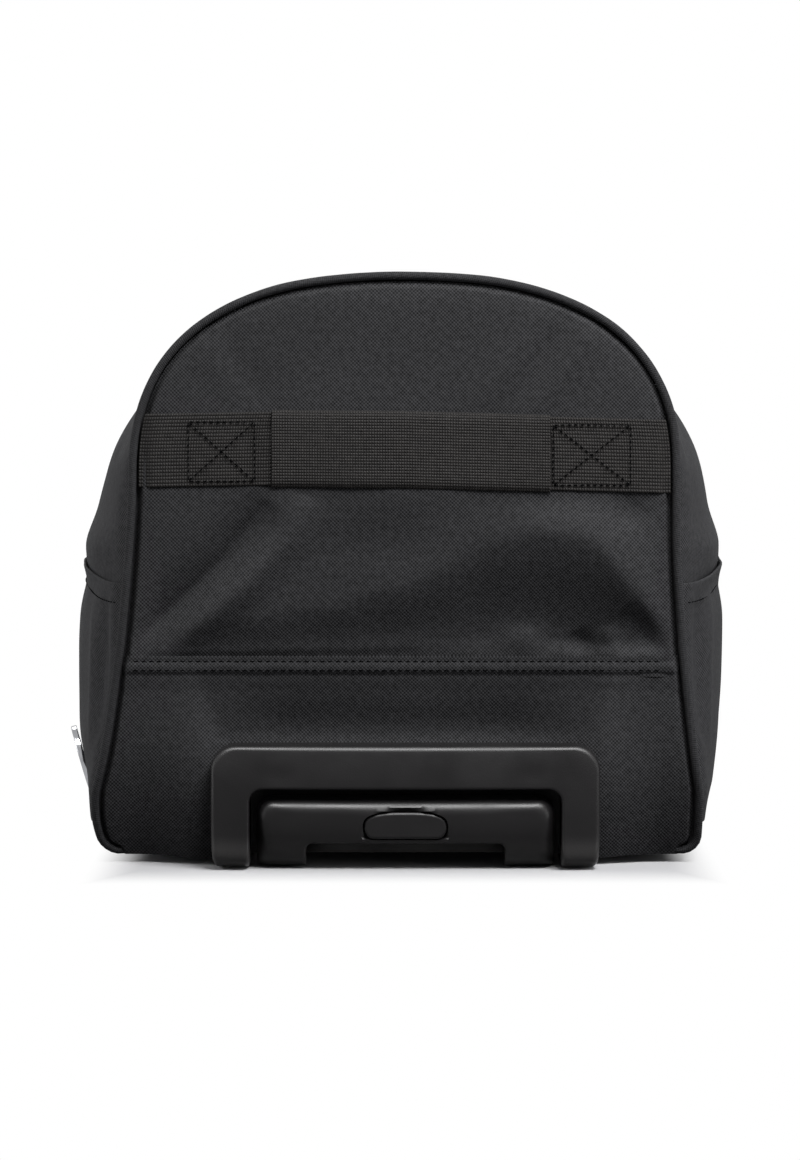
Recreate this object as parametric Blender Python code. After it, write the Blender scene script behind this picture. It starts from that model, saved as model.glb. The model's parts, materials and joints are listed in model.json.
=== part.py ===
"""Wheeled two-ball bowling bag: sewn shell, pull handle, wheels, zipped lid.

Metres, +Z up. The handle end faces -Y and the wheel end faces +Y.
"""
import math

import bmesh
import bpy
from mathutils import Matrix, Vector

# Outline of both ends, to the outside of the piping
BAG_TOP_Z = 0.308
ARCH_HALF_WIDTH = 0.143
ARCH_SPRING_Z = 0.202
ARCH_POWER = 2.45
BASE_HALF_WIDTH = 0.159
FLARE_END_Z = 0.038
FLARE_POWER = 1.8
FLOOR_GAP = 0.004
CORNER_RADIUS = 0.010
FRONT_Y = -0.258
REAR_Y = 0.262

# Sewn shell
SEW_GAP = 0.0003
CUT_ROOM = 0.050
PANEL_WALL = 0.005
BOTTOM_WALL = 0.002
PIPING_RADIUS = 0.0028
PIPING_EASE = 0.002
SKIN_INSET = 0.0012
BULGE = 0.0285
BULGE_POWER = 2.6
BULGE_TOP_Z = 0.246
BULGE_PEAK_Z = 0.142
BULGE_START = 0.018
SEAM_Z = 0.103
GUSSET_WIDTH = 0.022

# Bulging lower panel of the handle end
NOSE_Z = 0.028
NOSE_BULGE = 0.018
NOSE_RADIUS_Y = 0.026
NOSE_CROWN = 0.004
NOSE_FLAT = 0.108
LOWER_WALL = 0.004

# Zip and lid
ZIP_Z = 0.256
ZIP_TAPE = 0.0055
ZIP_WALL = 0.0024
ZIP_GAP = 0.0006

# Zip sliders and pulls
SLIDER_LENGTH = 0.009
SLIDER_HEIGHT = 0.010
SLIDER_WALL = 0.0024
SLIDER_PITCH = 0.013
SLIDER_CORNER = 0.0025
BAIL_HALF = 0.0012
BAIL_ROOT = 0.001
PULL_LENGTH = 0.030
PULL_WIDTH = 0.0075
PULL_WALL = 0.0016
PULL_PIN_RADIUS = 0.0011
PULL_TOE = 0.002
PULL_EASE = 0.001

# Side pockets and badge
POCKET_TOP_Z = 0.152
POCKET_BASE_Z = 0.020
POCKET_FRONT_Y = -0.250
POCKET_REAR_Y = 0.188
POCKET_WALL = 0.0018
POCKET_MOUTH = 0.0060
BADGE_RADIUS = 0.0185
BADGE_WALL = 0.003
BADGE_Y = -0.085
BADGE_Z = 0.0395

# Haul strap and its sleeve
STRAP_Z = 0.2145
STRAP_HEIGHT = 0.038
STRAP_WALL = 0.0024
STRAP_STAND = 0.0105
STRAP_FREE_HALF = 0.072
STRAP_RAMP = 0.014
STRAP_END = 0.134
SLEEVE_WALL = 0.0012
SLEEVE_HALF = 0.0685

# Handle bezel and tray
BEZEL_PROUD = 0.004
BEZEL_SEAT = 0.001
BEZEL_HALF_WIDTH = 0.1005
BEZEL_TOP_Z = 0.064
BEZEL_BAR = 0.0225
BEZEL_LEG = 0.020
BEZEL_OUTER_RADIUS = 0.013
BEZEL_INNER_RADIUS = 0.007
BEZEL_SKID = 0.016
BEZEL_BEVEL = 0.0012
BEZEL_LEAN = 0.0015
TRAY_WALL = 0.0024
TRAY_BACK_Y = -0.2505
TRAY_FOOT_Z = 0.006

# Grip and release button
GRIP_HALF_WIDTH = 0.077
GRIP_TOP_Z = 0.0365
GRIP_BAR = 0.0230
GRIP_LEG = 0.0255
GRIP_FOOT_Z = 0.0006
GRIP_RADIUS = 0.0075
GRIP_BACK_Y = -0.256
GRIP_SET_BACK = 0.001
GRIP_ROLL = 0.016
GRIP_EDGE = 0.005
GRIP_BEVEL = 0.0016
GRIP_TOE = 0.003
GRIP_FILLET = 0.004
BUTTON_WIDTH = 0.043
BUTTON_HEIGHT = 0.014
BUTTON_DEPTH = 0.010
BUTTON_Z = 0.023
BUTTON_CLEARANCE = 0.0005
BUTTON_TRAVEL = 0.005
BUTTON_SET_BACK = 0.0004
BUTTON_BEVEL = 0.0012
SCOOP_RIM = 0.0010
SCOOP_RISE = 0.0042
SCOOP_DEPTH = 0.0016
WELL_MARGIN = 0.0015
SPRING_RADIUS = 0.0035
SPRING_WIRE = 0.0004
SPRING_TURNS = 3

# Telescopic tubes, nested from the inner tube outwards
TUBE_WIDTH = 0.016
TUBE_HEIGHT = 0.010
TUBE_CORNER = 0.003
TUBE_WALL = 0.0012
TUBE_CLEARANCE = 0.0005
TUBE_SOCKET = 0.012
TUBE_REAR_Y = 0.200
TUBE_STEP = 0.012
COLLAR_WALL = 0.0017
COLLAR_FLANGE = 0.0018
COLLAR_LENGTH = 0.005
COLLAR_NECK = 0.002
BORE_CORNER = 0.0012
ANCHOR_LENGTH = 0.012
ANCHOR_PLUG = 0.010
ANCHOR_EASE = 0.0015
ANCHOR_MARGIN = 0.006

# Base board and ball cradle
BOARD_WALL = 0.003
BOARD_FRONT_Y = -0.245
BOARD_HALF_WIDTH = 0.144
BOARD_EASE = 0.002
CRADLE_HEIGHT = 0.040
CRADLE_SIDE_GAP = 0.0065
CRADLE_HALF_LENGTH = 0.226
CRADLE_CORNER = 0.020
BALL_RADIUS = 0.108
BALL_CLEARANCE = 0.0015
BALL_PITCH = 0.222
CUP_FLOOR = 0.005

# Wheels
WHEEL_RADIUS = 0.038
WHEEL_WIDTH = 0.024
WHEEL_INSET = 0.017
WHEEL_REACH = 0.018
TYRE_WALL = 0.010
TYRE_SHOULDER = 0.005
TYRE_CHAMFER = 0.002
HUB_BOSS = 0.005
HUB_WEB = 0.008
HUB_RIM = 0.003
HUB_FLARE = 0.002
HUB_HOLE_RADIUS = 0.0036
HUB_HOLES = 5
AXLE_RADIUS = 0.004
AXLE_HEAD_RADIUS = 0.0065
AXLE_HEAD = 0.0022
AXLE_CHAMFER = 0.001
AXLE_CLEARANCE = 0.0003
HOUSING_WALL = 0.0035
HOUSING_FOOT_Z = 0.009
HOUSING_SIDE_GAP = 0.002
HOUSING_ARCH_GAP = 0.004
HOUSING_CHAMFER = 0.014
HOUSING_LIP = 0.002
FOOT_INSET = 0.053
FOOT_RISE = 0.013
FOOT_RADIUS = 0.014
FOOT_TAPER = 0.003
FOOT_CHAMFER = 0.001

# Values that follow from those above
PANEL_INSET = 2.0 * PIPING_RADIUS + SEW_GAP
SHELL_FRONT_Y = FRONT_Y + 2.0 * PIPING_RADIUS + SEW_GAP
SHELL_REAR_Y = REAR_Y - 2.0 * PIPING_RADIUS - SEW_GAP
ZIP_FRONT_Y = SHELL_FRONT_Y + GUSSET_WIDTH
ZIP_REAR_Y = SHELL_REAR_Y - GUSSET_WIDTH
LID_FRONT_Y = ZIP_FRONT_Y + 2.0 * SEW_GAP + ZIP_TAPE + ZIP_GAP + ZIP_TAPE
LID_REAR_Y = ZIP_REAR_Y - 2.0 * SEW_GAP - ZIP_TAPE - ZIP_GAP - ZIP_TAPE
WHEEL_X = BASE_HALF_WIDTH - WHEEL_INSET
WHEEL_REACH_Y = REAR_Y + WHEEL_REACH
WHEEL_Y = WHEEL_REACH_Y - WHEEL_RADIUS
FOOT_X = ARCH_HALF_WIDTH - FOOT_INSET
FOOT_Z = ARCH_SPRING_Z + FOOT_RISE
HOUSING_HALF = WHEEL_WIDTH / 2.0 + HOUSING_SIDE_GAP + HOUSING_WALL
HOUSING_RADIUS = WHEEL_RADIUS + HOUSING_ARCH_GAP + HOUSING_WALL
CRADLE_HALF_WIDTH = WHEEL_X - HOUSING_HALF - CRADLE_SIDE_GAP
TUBE_X = GRIP_HALF_WIDTH - GRIP_LEG / 2.0
TRAY_HALF_WIDTH = BEZEL_HALF_WIDTH - BEZEL_LEG
TRAY_TOP_Z = BEZEL_TOP_Z - BEZEL_BAR
OUTER_TUBE_HEIGHT = TUBE_HEIGHT + 4.0 * (TUBE_WALL + TUBE_CLEARANCE)
TUBE_Z = FLOOR_GAP + BOTTOM_WALL + 2.0 * SEW_GAP + OUTER_TUBE_HEIGHT / 2.0
BOARD_Z = TUBE_Z + OUTER_TUBE_HEIGHT / 2.0 + 2.0 * SEW_GAP
SIDES = (("left", -1.0), ("right", 1.0))


def clear_scene():
    """Empty the scene before building."""
    for obj in list(bpy.data.objects):
        bpy.data.objects.remove(obj, do_unlink=True)


def make_material(name, colour, roughness, metallic=0.0):
    """Principled material with one flat colour."""
    mat = bpy.data.materials.new(name)
    mat.use_nodes = True
    shader = mat.node_tree.nodes["Principled BSDF"]
    shader.inputs["Base Color"].default_value = (*colour, 1.0)
    shader.inputs["Roughness"].default_value = roughness
    shader.inputs["Metallic"].default_value = metallic
    return mat


def finish_mesh(name, bm, mat, closed=True):
    """Turn a bmesh into a named object, with its faces pointing out if it is closed."""
    if closed:
        bmesh.ops.recalc_face_normals(bm, faces=bm.faces)
    mesh = bpy.data.meshes.new(name)
    bm.to_mesh(mesh)
    bm.free()
    obj = bpy.data.objects.new(name, mesh)
    bpy.context.scene.collection.objects.link(obj)
    if mat:
        mesh.materials.append(mat)
    return obj


def loft(name, rings, mat, closed=False):
    """Skin a row of rings of equal length; an open row is capped at both ends."""
    bm = bmesh.new()
    rows = [[bm.verts.new(p) for p in ring] for ring in rings]
    pairs = list(zip(rows, rows[1:]))
    if closed:
        pairs.append((rows[-1], rows[0]))
    size = len(rows[0])
    for low, high in pairs:
        for i in range(size):
            k = (i + 1) % size
            bm.faces.new((low[i], low[k], high[k], high[i]))
    if not closed:
        bm.faces.new(rows[0])
        bm.faces.new(rows[-1])
    return finish_mesh(name, bm, mat)


def place(axis, u, v, w):
    """Point at (u, v) in the plane across the axis, w along it."""
    if axis == "X":
        return (w, u, v)
    if axis == "Y":
        return (u, w, v)
    return (u, v, w)


def extrude(name, outline, axis, start, end, mat):
    """Prism of a closed outline along one axis."""
    bm = bmesh.new()
    base = bm.faces.new([bm.verts.new(place(axis, u, v, start)) for u, v in outline])
    grown = bmesh.ops.extrude_face_region(bm, geom=[base])
    shift = Vector(place(axis, 0.0, 0.0, end - start))
    moved = [g for g in grown["geom"] if isinstance(g, bmesh.types.BMVert)]
    bmesh.ops.translate(bm, vec=shift, verts=moved)
    return finish_mesh(name, bm, mat)


def lathe(name, profile, axis, centre, steps, mat):
    """Spin a closed profile of (along, radius) round an axis through a point."""
    bm = bmesh.new()
    verts = [bm.verts.new(place(axis, r, 0.0, a)) for a, r in profile]
    edges = [bm.edges.new((verts[i], verts[i - 1])) for i in range(len(verts))]
    turn = Vector(place(axis, 0.0, 0.0, 1.0))
    bmesh.ops.spin(bm, geom=verts + edges, cent=(0, 0, 0), axis=turn, angle=2.0 * math.pi,
                   steps=steps, use_merge=True)
    bmesh.ops.remove_doubles(bm, verts=bm.verts, dist=1e-6)
    obj = finish_mesh(name, bm, mat)
    obj.location = centre
    return obj


def turned(name, profile, axis, centre, steps, mat):
    """Solid turned piece: rings of (along, radius) stacked along an axis, capped."""
    rings = []
    for along, radius in profile:
        angles = [2.0 * math.pi * i / steps for i in range(steps)]
        rings.append([place(axis, radius * math.cos(t), radius * math.sin(t), along) for t in angles])
    obj = loft(name, rings, mat)
    obj.location = centre
    return obj


def sheet(name, rows, wall, mat, flip=False):
    """Grid of points thickened inwards with Solidify into a closed panel."""
    bm = bmesh.new()
    grid = [[bm.verts.new(p) for p in row] for row in rows]
    for low, high in zip(grid, grid[1:]):
        for i in range(len(low) - 1):
            quad = (low[i], low[i + 1], high[i + 1], high[i])
            bm.faces.new(tuple(reversed(quad)) if flip else quad)
    obj = finish_mesh(name, bm, mat, closed=False)
    mod = obj.modifiers.new("wall", "SOLIDIFY")
    mod.thickness = wall
    mod.offset = -1.0
    mod.use_even_offset = True
    apply_modifiers(obj)
    return obj


def apply_modifiers(obj):
    """Bake the modifiers of an object into its mesh."""
    bpy.context.view_layer.objects.active = obj
    for mod in list(obj.modifiers):
        bpy.ops.object.modifier_apply(modifier=mod.name)


def combine(obj, other, operation):
    """Boolean with a second solid, which is used up."""
    mod = obj.modifiers.new(operation.lower(), "BOOLEAN")
    mod.operation = operation
    mod.object = other
    apply_modifiers(obj)
    bpy.data.objects.remove(other, do_unlink=True)


def bevel(obj, width, segments=1, angle=35.0):
    """Round the sharp edges."""
    mod = obj.modifiers.new("bevel", "BEVEL")
    mod.width = width
    mod.segments = segments
    mod.limit_method = "ANGLE"
    mod.angle_limit = math.radians(angle)
    apply_modifiers(obj)


def set_origin(obj, point):
    """Put the origin of an object on a point without moving its mesh."""
    shift = Vector(point) - obj.location
    obj.data.transform(Matrix.Translation(-shift))
    obj.location = point


def arc(cx, cy, radius, start, end, steps):
    """Points on a circular arc, angles in degrees."""
    angles = [math.radians(start + (end - start) * i / steps) for i in range(steps + 1)]
    return [(cx + radius * math.cos(t), cy + radius * math.sin(t)) for t in angles]


def rounded_rect(cx, cy, width, height, radius, steps=3):
    """Closed outline of a rectangle with rounded corners."""
    right = cx + width / 2.0 - radius
    left = cx - width / 2.0 + radius
    top = cy + height / 2.0 - radius
    low = cy - height / 2.0 + radius
    points = arc(right, top, radius, 0, 90, steps)
    points += arc(left, top, radius, 90, 180, steps)
    points += arc(left, low, radius, 180, 270, steps)
    points += arc(right, low, radius, 270, 360, steps)
    return points


def smooth(t):
    """Smooth step from 0 to 1."""
    t = min(1.0, max(0.0, t))
    return t * t * (3.0 - 2.0 * t)


def half_width(z):
    """Half width of the end outline at one height, above the bottom corners."""
    if z >= ARCH_SPRING_Z:
        rise = min(1.0, (z - ARCH_SPRING_Z) / (BAG_TOP_Z - ARCH_SPRING_Z))
        return ARCH_HALF_WIDTH * (1.0 - rise ** ARCH_POWER) ** (1.0 / ARCH_POWER)
    drop = min(1.0, (ARCH_SPRING_Z - z) / (ARCH_SPRING_Z - FLARE_END_Z))
    return ARCH_HALF_WIDTH + (BASE_HALF_WIDTH - ARCH_HALF_WIDTH) * drop ** FLARE_POWER


def end_outline(inset):
    """Open path round the end: right bottom corner, side, arch, side, left bottom corner."""
    corner_z = FLOOR_GAP + CORNER_RADIUS
    right = arc(BASE_HALF_WIDTH - CORNER_RADIUS, corner_z, CORNER_RADIUS, -90, 0, 3)
    levels = 7
    for i in range(1, levels):
        z = corner_z + (ARCH_SPRING_Z - corner_z) * i / levels
        right.append((half_width(z), z))
    steps = 10
    rise = BAG_TOP_Z - ARCH_SPRING_Z
    for i in range(steps):
        t = 0.5 * math.pi * i / steps
        x = ARCH_HALF_WIDTH * math.cos(t) ** (2.0 / ARCH_POWER)
        right.append((x, ARCH_SPRING_Z + rise * math.sin(t) ** (2.0 / ARCH_POWER)))
    left = [(-x, z) for x, z in reversed(right)]
    path = right + [(0.0, BAG_TOP_Z)] + left
    moved = []
    for i, (x, z) in enumerate(path):
        ax, az = path[max(i - 1, 0)]
        bx, bz = path[min(i + 1, len(path) - 1)]
        length = math.hypot(bx - ax, bz - az)
        moved.append((x - inset * (bz - az) / length, z + inset * (bx - ax) / length))
    return moved


def clip_path(path, right_z, left_z):
    """Part of an end path above two heights, cut exactly at them."""
    top = max(range(len(path)), key=lambda i: path[i][1])

    def cut(points, level):
        kept = [p for p in points if p[1] > level + 1e-6]
        below = [p for p in points if p[1] <= level + 1e-6]
        (ax, az), (bx, bz) = below[-1], kept[0]
        t = (level - az) / (bz - az)
        return [(ax + (bx - ax) * t, level)] + kept

    right = cut(path[:top + 1], right_z)
    left = cut(list(reversed(path[top:])), left_z)
    return right + list(reversed(left))[1:]


def arch_band(inset, wall, right_z, left_z):
    """Closed outline of a strip that follows the arch."""
    outer = clip_path(end_outline(inset), right_z, left_z)
    inner = clip_path(end_outline(inset + wall), right_z, left_z)
    return outer + list(reversed(inner))


def bulge(y, z):
    """How far the side of the bag swells beyond the end outline."""
    mid = 0.5 * (SHELL_FRONT_Y + SHELL_REAR_Y)
    along = abs(y - mid) / (0.5 * (SHELL_REAR_Y - SHELL_FRONT_Y))
    plan = 1.0 - min(1.0, along) ** 4
    if z >= BULGE_TOP_Z:
        return 0.0
    if z >= BULGE_PEAK_Z:
        rise = 1.0 - ((z - BULGE_PEAK_Z) / (BULGE_TOP_Z - BULGE_PEAK_Z)) ** BULGE_POWER
    else:
        rise = 1.0 - ((BULGE_PEAK_Z - z) / (BULGE_PEAK_Z - FLOOR_GAP)) ** 2
    return BULGE * plan * rise * smooth((z - FLOOR_GAP) / BULGE_START)


def side_x(y, z):
    """Outer face of the side panel, right side."""
    return half_width(z) - SKIN_INSET + bulge(y, z)


def side_rows(low_z, top_z, count, front_y, rear_y, stations, sign, lift):
    """Grid on the side of the bag; lift(y, z) is the stand-off from the side panel."""
    rows = []
    for i in range(count + 1):
        z = low_z + (top_z - low_z) * i / count
        ys = [front_y + (rear_y - front_y) * k / stations for k in range(stations + 1)]
        rows.append([(sign * (side_x(y, z) + lift(y, z)), y, z) for y in ys])
    return rows


def side_panel(name, sign, top_z, mat):
    """Side panel with its rounded lower edge, swelling towards the middle."""
    stations = 12
    ys = [SHELL_FRONT_Y + (SHELL_REAR_Y - SHELL_FRONT_Y) * k / stations for k in range(stations + 1)]
    radius = CORNER_RADIUS - SKIN_INSET
    corner_z = FLOOR_GAP + CORNER_RADIUS
    rows = []
    for x, z in arc(BASE_HALF_WIDTH - CORNER_RADIUS, corner_z, radius, -90, 0, 3)[:-1]:
        rows.append([(sign * (x + bulge(y, z)), y, z) for y in ys])
    rows += side_rows(corner_z, top_z, 9, SHELL_FRONT_Y, SHELL_REAR_Y, stations, sign, lambda y, z: 0.0)
    return sheet(name, rows, PANEL_WALL, mat, flip=sign < 0.0)


def pocket_lift(y, z):
    """Stand-off of the pocket from the side panel: sewn flat at the foot and the ends."""
    mid = 0.5 * (POCKET_FRONT_Y + POCKET_REAR_Y)
    along = min(1.0, abs(y - mid) / (0.5 * (POCKET_REAR_Y - POCKET_FRONT_Y)))
    rise = smooth((z - POCKET_BASE_Z) / (0.7 * (POCKET_TOP_Z - POCKET_BASE_Z)))
    return 3.0 * SEW_GAP + POCKET_WALL + POCKET_MOUTH * (1.0 - along ** 3) * rise


def side_pocket(name, sign, mat):
    """Slip pocket, open along its top edge."""
    rows = side_rows(POCKET_BASE_Z, POCKET_TOP_Z, 7, POCKET_FRONT_Y, POCKET_REAR_Y, 10, sign, pocket_lift)
    return sheet(name, rows, POCKET_WALL, mat, flip=sign < 0.0)


def nose(grow, fraction):
    """Side profile of the lower front panel; fraction -1 is the floor, 0 the nose, 1 the seam."""
    if fraction <= 0.0:
        t = 0.5 * math.pi * fraction
        y = FRONT_Y - NOSE_BULGE + NOSE_RADIUS_Y - (NOSE_RADIUS_Y + grow) * math.cos(t)
        return y, NOSE_Z + (NOSE_Z - FLOOR_GAP + grow) * math.sin(t)
    y = FRONT_Y - grow - NOSE_BULGE * (1.0 - fraction ** 2)
    return y, NOSE_Z + (SEAM_Z - NOSE_Z) * fraction


def nose_at(grow, z):
    """Y of the lower front profile at one height."""
    if z >= NOSE_Z:
        return nose(grow, (z - NOSE_Z) / (SEAM_Z - NOSE_Z))[0]
    s = max(-1.0, (z - NOSE_Z) / (NOSE_Z - FLOOR_GAP + grow))
    return nose(grow, 2.0 * math.asin(s) / math.pi)[0]


def crown(x):
    """The front is fullest in the middle of its width."""
    return NOSE_CROWN * min(1.0, abs(x) / NOSE_FLAT) ** 2


def lower_panel(mat):
    """Lower panel of the handle end, full in front and rolled under at the floor."""
    fractions = [-1.0 + i / 6.0 for i in range(7)] + [i / 5.0 for i in range(1, 6)]
    columns = 14
    corner_z = FLOOR_GAP + CORNER_RADIUS
    rows = []
    for fraction in fractions:
        y, z = nose(0.0, fraction)
        tuck = CORNER_RADIUS * smooth((corner_z + SEW_GAP - z) / CORNER_RADIUS)
        limit = half_width(z) - PANEL_INSET - tuck
        row = []
        for i in range(columns + 1):
            x = limit * (2.0 * i / columns - 1.0)
            blend = smooth((abs(x) - NOSE_FLAT) / (limit - NOSE_FLAT))
            row.append((x, (y + crown(x)) * (1.0 - blend) + FRONT_Y * blend, z))
        rows.append(row)
    panel = sheet("front_lower_panel", rows, LOWER_WALL, mat)
    gap = TRAY_WALL + 2.0 * SEW_GAP
    combine(panel, tray_prism(gap, FRONT_Y - CUT_ROOM, TRAY_BACK_Y + CUT_ROOM), "DIFFERENCE")
    return panel


def tray_outline(grow, foot_z):
    """Closed inverted-U outline of the tray."""
    half = TRAY_HALF_WIDTH + grow
    top = TRAY_TOP_Z + grow
    radius = BEZEL_INNER_RADIUS + grow
    points = [(half, foot_z)] + arc(half - radius, top - radius, radius, 0, 90, 4)
    return points + [(-x, z) for x, z in reversed(points)]


def tray_prism(grow, start, end):
    """Solid of the tray's outline, used to cut the panel round it."""
    return extrude("cutter", tray_outline(grow, FLOOR_GAP - CUT_ROOM), "Y", start, end, None)


def handle_tray(mat):
    """Moulded recess that the grip sits in: top, sides and back, open in front and below."""
    path = tray_outline(0.0, TRAY_FOOT_Z)
    levels = 4
    foot = path[0]
    knee = path[1]
    right = [(foot[0], foot[1] + (knee[1] - foot[1]) * i / levels) for i in range(levels)]
    left = [(-x, z) for x, z in reversed(right)]
    path = right + path[1:-1] + left
    bm = bmesh.new()
    front = [bm.verts.new((x, nose_at(-SEW_GAP, z) + crown(x), z)) for x, z in path]
    back = [bm.verts.new((x, TRAY_BACK_Y - TRAY_WALL, z)) for x, z in path]
    for i in range(len(path) - 1):
        bm.faces.new((front[i], back[i], back[i + 1], front[i + 1]))
    bm.faces.new(list(reversed(back)))
    tray = finish_mesh("handle_tray", bm, mat, closed=False)
    mod = tray.modifiers.new("wall", "SOLIDIFY")
    mod.thickness = TRAY_WALL
    mod.offset = 1.0
    mod.use_even_offset = True
    apply_modifiers(tray)
    for _, sign in SIDES:
        width, height = tube_size(2)
        hole = rounded_rect(sign * TUBE_X, TUBE_Z, width + 2.0 * COLLAR_WALL + TUBE_CLEARANCE,
                            height + 2.0 * COLLAR_WALL + TUBE_CLEARANCE, TUBE_CORNER)
        cutter = extrude("cutter", hole, "Y", TRAY_BACK_Y - TRAY_WALL - SEW_GAP, TRAY_BACK_Y + CUT_ROOM, None)
        combine(tray, cutter, "DIFFERENCE")
    return tray


def handle_bezel(mat):
    """Inverted-U trim round the tray; its legs roll under the bag and end as skids."""
    rings = []
    half = BEZEL_HALF_WIDTH
    inner = TRAY_HALF_WIDTH

    def ring(outer, inside, front_outer, front_inside, back_outer, back_inside):
        (xo, zo), (xi, zi) = outer, inside
        return [(xo, front_outer + crown(xo), zo[0]), (xi, front_inside + crown(xi), zi[0]),
                (xi, back_inside + crown(xi), zi[1]), (xo, back_outer + crown(xo), zo[1])]

    skid_front = nose(BEZEL_PROUD, -1.0)
    skid_back = nose(BEZEL_SEAT, -1.0)
    skid_y = skid_front[0] + BEZEL_SKID
    heights = (skid_front[1], skid_back[1] - SEW_GAP)
    rings.append(ring((half - BEZEL_LEAN, heights), (inner, heights), skid_y, skid_y, skid_y, skid_y))
    steps = 7
    for i in range(steps + 1):
        fraction = -1.0 + i / steps
        fy, fz = nose(BEZEL_PROUD, fraction)
        by, bz = nose(BEZEL_SEAT, fraction)
        x = half + BEZEL_LEAN * min(0.0, fraction)
        rings.append(ring((x, (fz, bz)), (inner, (fz, bz)), fy, fy, by, by))
    outer_arc = arc(half - BEZEL_OUTER_RADIUS, BEZEL_TOP_Z - BEZEL_OUTER_RADIUS, BEZEL_OUTER_RADIUS, 0, 90, 5)
    inner_arc = arc(inner - BEZEL_INNER_RADIUS, TRAY_TOP_Z - BEZEL_INNER_RADIUS, BEZEL_INNER_RADIUS, 0, 90, 5)
    bar = [i / 4.0 for i in (3, 2, 1, 0)]
    outer_arc += [(outer_arc[-1][0] * t, BEZEL_TOP_Z) for t in bar]
    inner_arc += [(inner_arc[-1][0] * t, TRAY_TOP_Z) for t in bar]
    for (xo, zo), (xi, zi) in zip(outer_arc, inner_arc):
        rings.append(ring((xo, (zo, zo)), (xi, (zi, zi)), nose_at(BEZEL_PROUD, zo), nose_at(BEZEL_PROUD, zi),
                          nose_at(BEZEL_SEAT, zo), nose_at(BEZEL_SEAT, zi)))
    rings += [[(-x, y, z) for x, y, z in r] for r in reversed(rings[:-1])]
    bezel = loft("handle_bezel", rings, mat)
    bevel(bezel, BEZEL_BEVEL, 2, 50.0)
    return bezel


def grip_outline():
    """Closed inverted-U outline of the grip."""
    half = GRIP_HALF_WIDTH
    inner = half - GRIP_LEG
    bar_z = GRIP_TOP_Z - GRIP_BAR
    foot = GRIP_FOOT_Z
    right = arc(inner - GRIP_FILLET, bar_z - GRIP_FILLET, GRIP_FILLET, 90, 0, 3)
    right += [(inner, foot)]
    right += [(half - GRIP_TOE, foot), (half, foot + GRIP_TOE)]
    right += arc(half - GRIP_RADIUS, GRIP_TOP_Z - GRIP_RADIUS, GRIP_RADIUS, 0, 90, 5)
    return right + [(-x, z) for x, z in reversed(right)]


def button_outline(grow, rise=0.0, power=3.0):
    """Closed loaf-shaped outline of the button: arched top, flat foot with rounded ends."""
    half = BUTTON_WIDTH / 2.0 + grow
    foot = BUTTON_Z - BUTTON_HEIGHT / 2.0 - grow
    shoulder = BUTTON_HEIGHT * 0.435 + grow
    crest = BUTTON_HEIGHT + grow - shoulder + grow + rise
    corner = BUTTON_WIDTH * 0.12
    points = []
    for i in range(4):
        t = 0.5 * math.pi * (i / 4.0 - 1.0)
        points.append((half - corner + corner * math.cos(t), foot + shoulder + shoulder * math.sin(t)))
    for i in range(8):
        t = 0.5 * math.pi * i / 7.0
        across, up = math.cos(t) ** (2.0 / power), math.sin(t) ** (2.0 / power)
        points.append((half * across, foot + shoulder + crest * up))
    points[-1] = (0.0, points[-1][1])
    return points + [(-x, z) for x, z in reversed(points[:-1])]


def grip_front(z):
    """Front face of the grip at the middle of the bag, rolled back at its top edge and its feet."""
    edge = max(0.0, z - GRIP_TOP_Z + GRIP_EDGE)
    roll = GRIP_EDGE - math.sqrt(max(0.0, GRIP_EDGE ** 2 - edge ** 2))
    if z >= NOSE_Z:
        return nose_at(BEZEL_PROUD - GRIP_SET_BACK, z) + roll
    fall = min(1.0, (NOSE_Z - z) / (NOSE_Z - GRIP_FOOT_Z))
    return nose_at(BEZEL_PROUD - GRIP_SET_BACK, NOSE_Z) + GRIP_ROLL * (1.0 - math.sqrt(1.0 - fall ** 2))


def handle_grip(mat):
    """U-shaped grip with sockets for the inner tubes and a well for the button."""
    grip = extrude("handle_grip", grip_outline(), "Y", FRONT_Y - CUT_ROOM, GRIP_BACK_Y, mat)
    turns = [0.5 * math.pi * i / 5.0 for i in range(6)]
    levels = [GRIP_FOOT_Z - GRIP_TOE] + [NOSE_Z - (NOSE_Z - GRIP_FOOT_Z) * math.cos(t) for t in turns]
    levels += [GRIP_TOP_Z - GRIP_EDGE + GRIP_EDGE * math.sin(t) for t in turns[:-1]]
    levels.append(GRIP_TOP_Z + GRIP_TOE)
    profile = [(grip_front(z), z) for z in levels]
    profile += [(GRIP_BACK_Y + GRIP_EDGE, levels[-1]), (GRIP_BACK_Y + GRIP_EDGE, levels[0])]
    columns = [i / 4.0 for i in range(-4, 5)]
    rings = []
    for c in columns:
        x = c * (GRIP_HALF_WIDTH + GRIP_TOE)
        rings.append([(x, y + crown(x), z) for y, z in profile])
    combine(grip, loft("cutter", rings, None), "INTERSECT")
    bevel(grip, GRIP_BEVEL, 2, 50.0)
    for _, sign in SIDES:
        socket = rounded_rect(sign * TUBE_X, TUBE_Z, TUBE_WIDTH + 2.0 * SEW_GAP, TUBE_HEIGHT + 2.0 * SEW_GAP,
                              TUBE_CORNER)
        depth = TUBE_SOCKET + SEW_GAP
        cutter = extrude("cutter", socket, "Y", GRIP_BACK_Y - depth, GRIP_BACK_Y + GRIP_EDGE, None)
        combine(grip, cutter, "DIFFERENCE")
    front = grip_front(BUTTON_Z)
    eye = button_outline(SCOOP_RIM, SCOOP_RISE, 2.0)
    scoop = extrude("cutter", eye, "Y", front - BUTTON_DEPTH, front + SCOOP_DEPTH, None)
    combine(grip, scoop, "DIFFERENCE")
    well = extrude("cutter", button_outline(BUTTON_CLEARANCE), "Y", front - BUTTON_DEPTH, well_floor(), None)
    combine(grip, well, "DIFFERENCE")
    return grip


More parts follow.
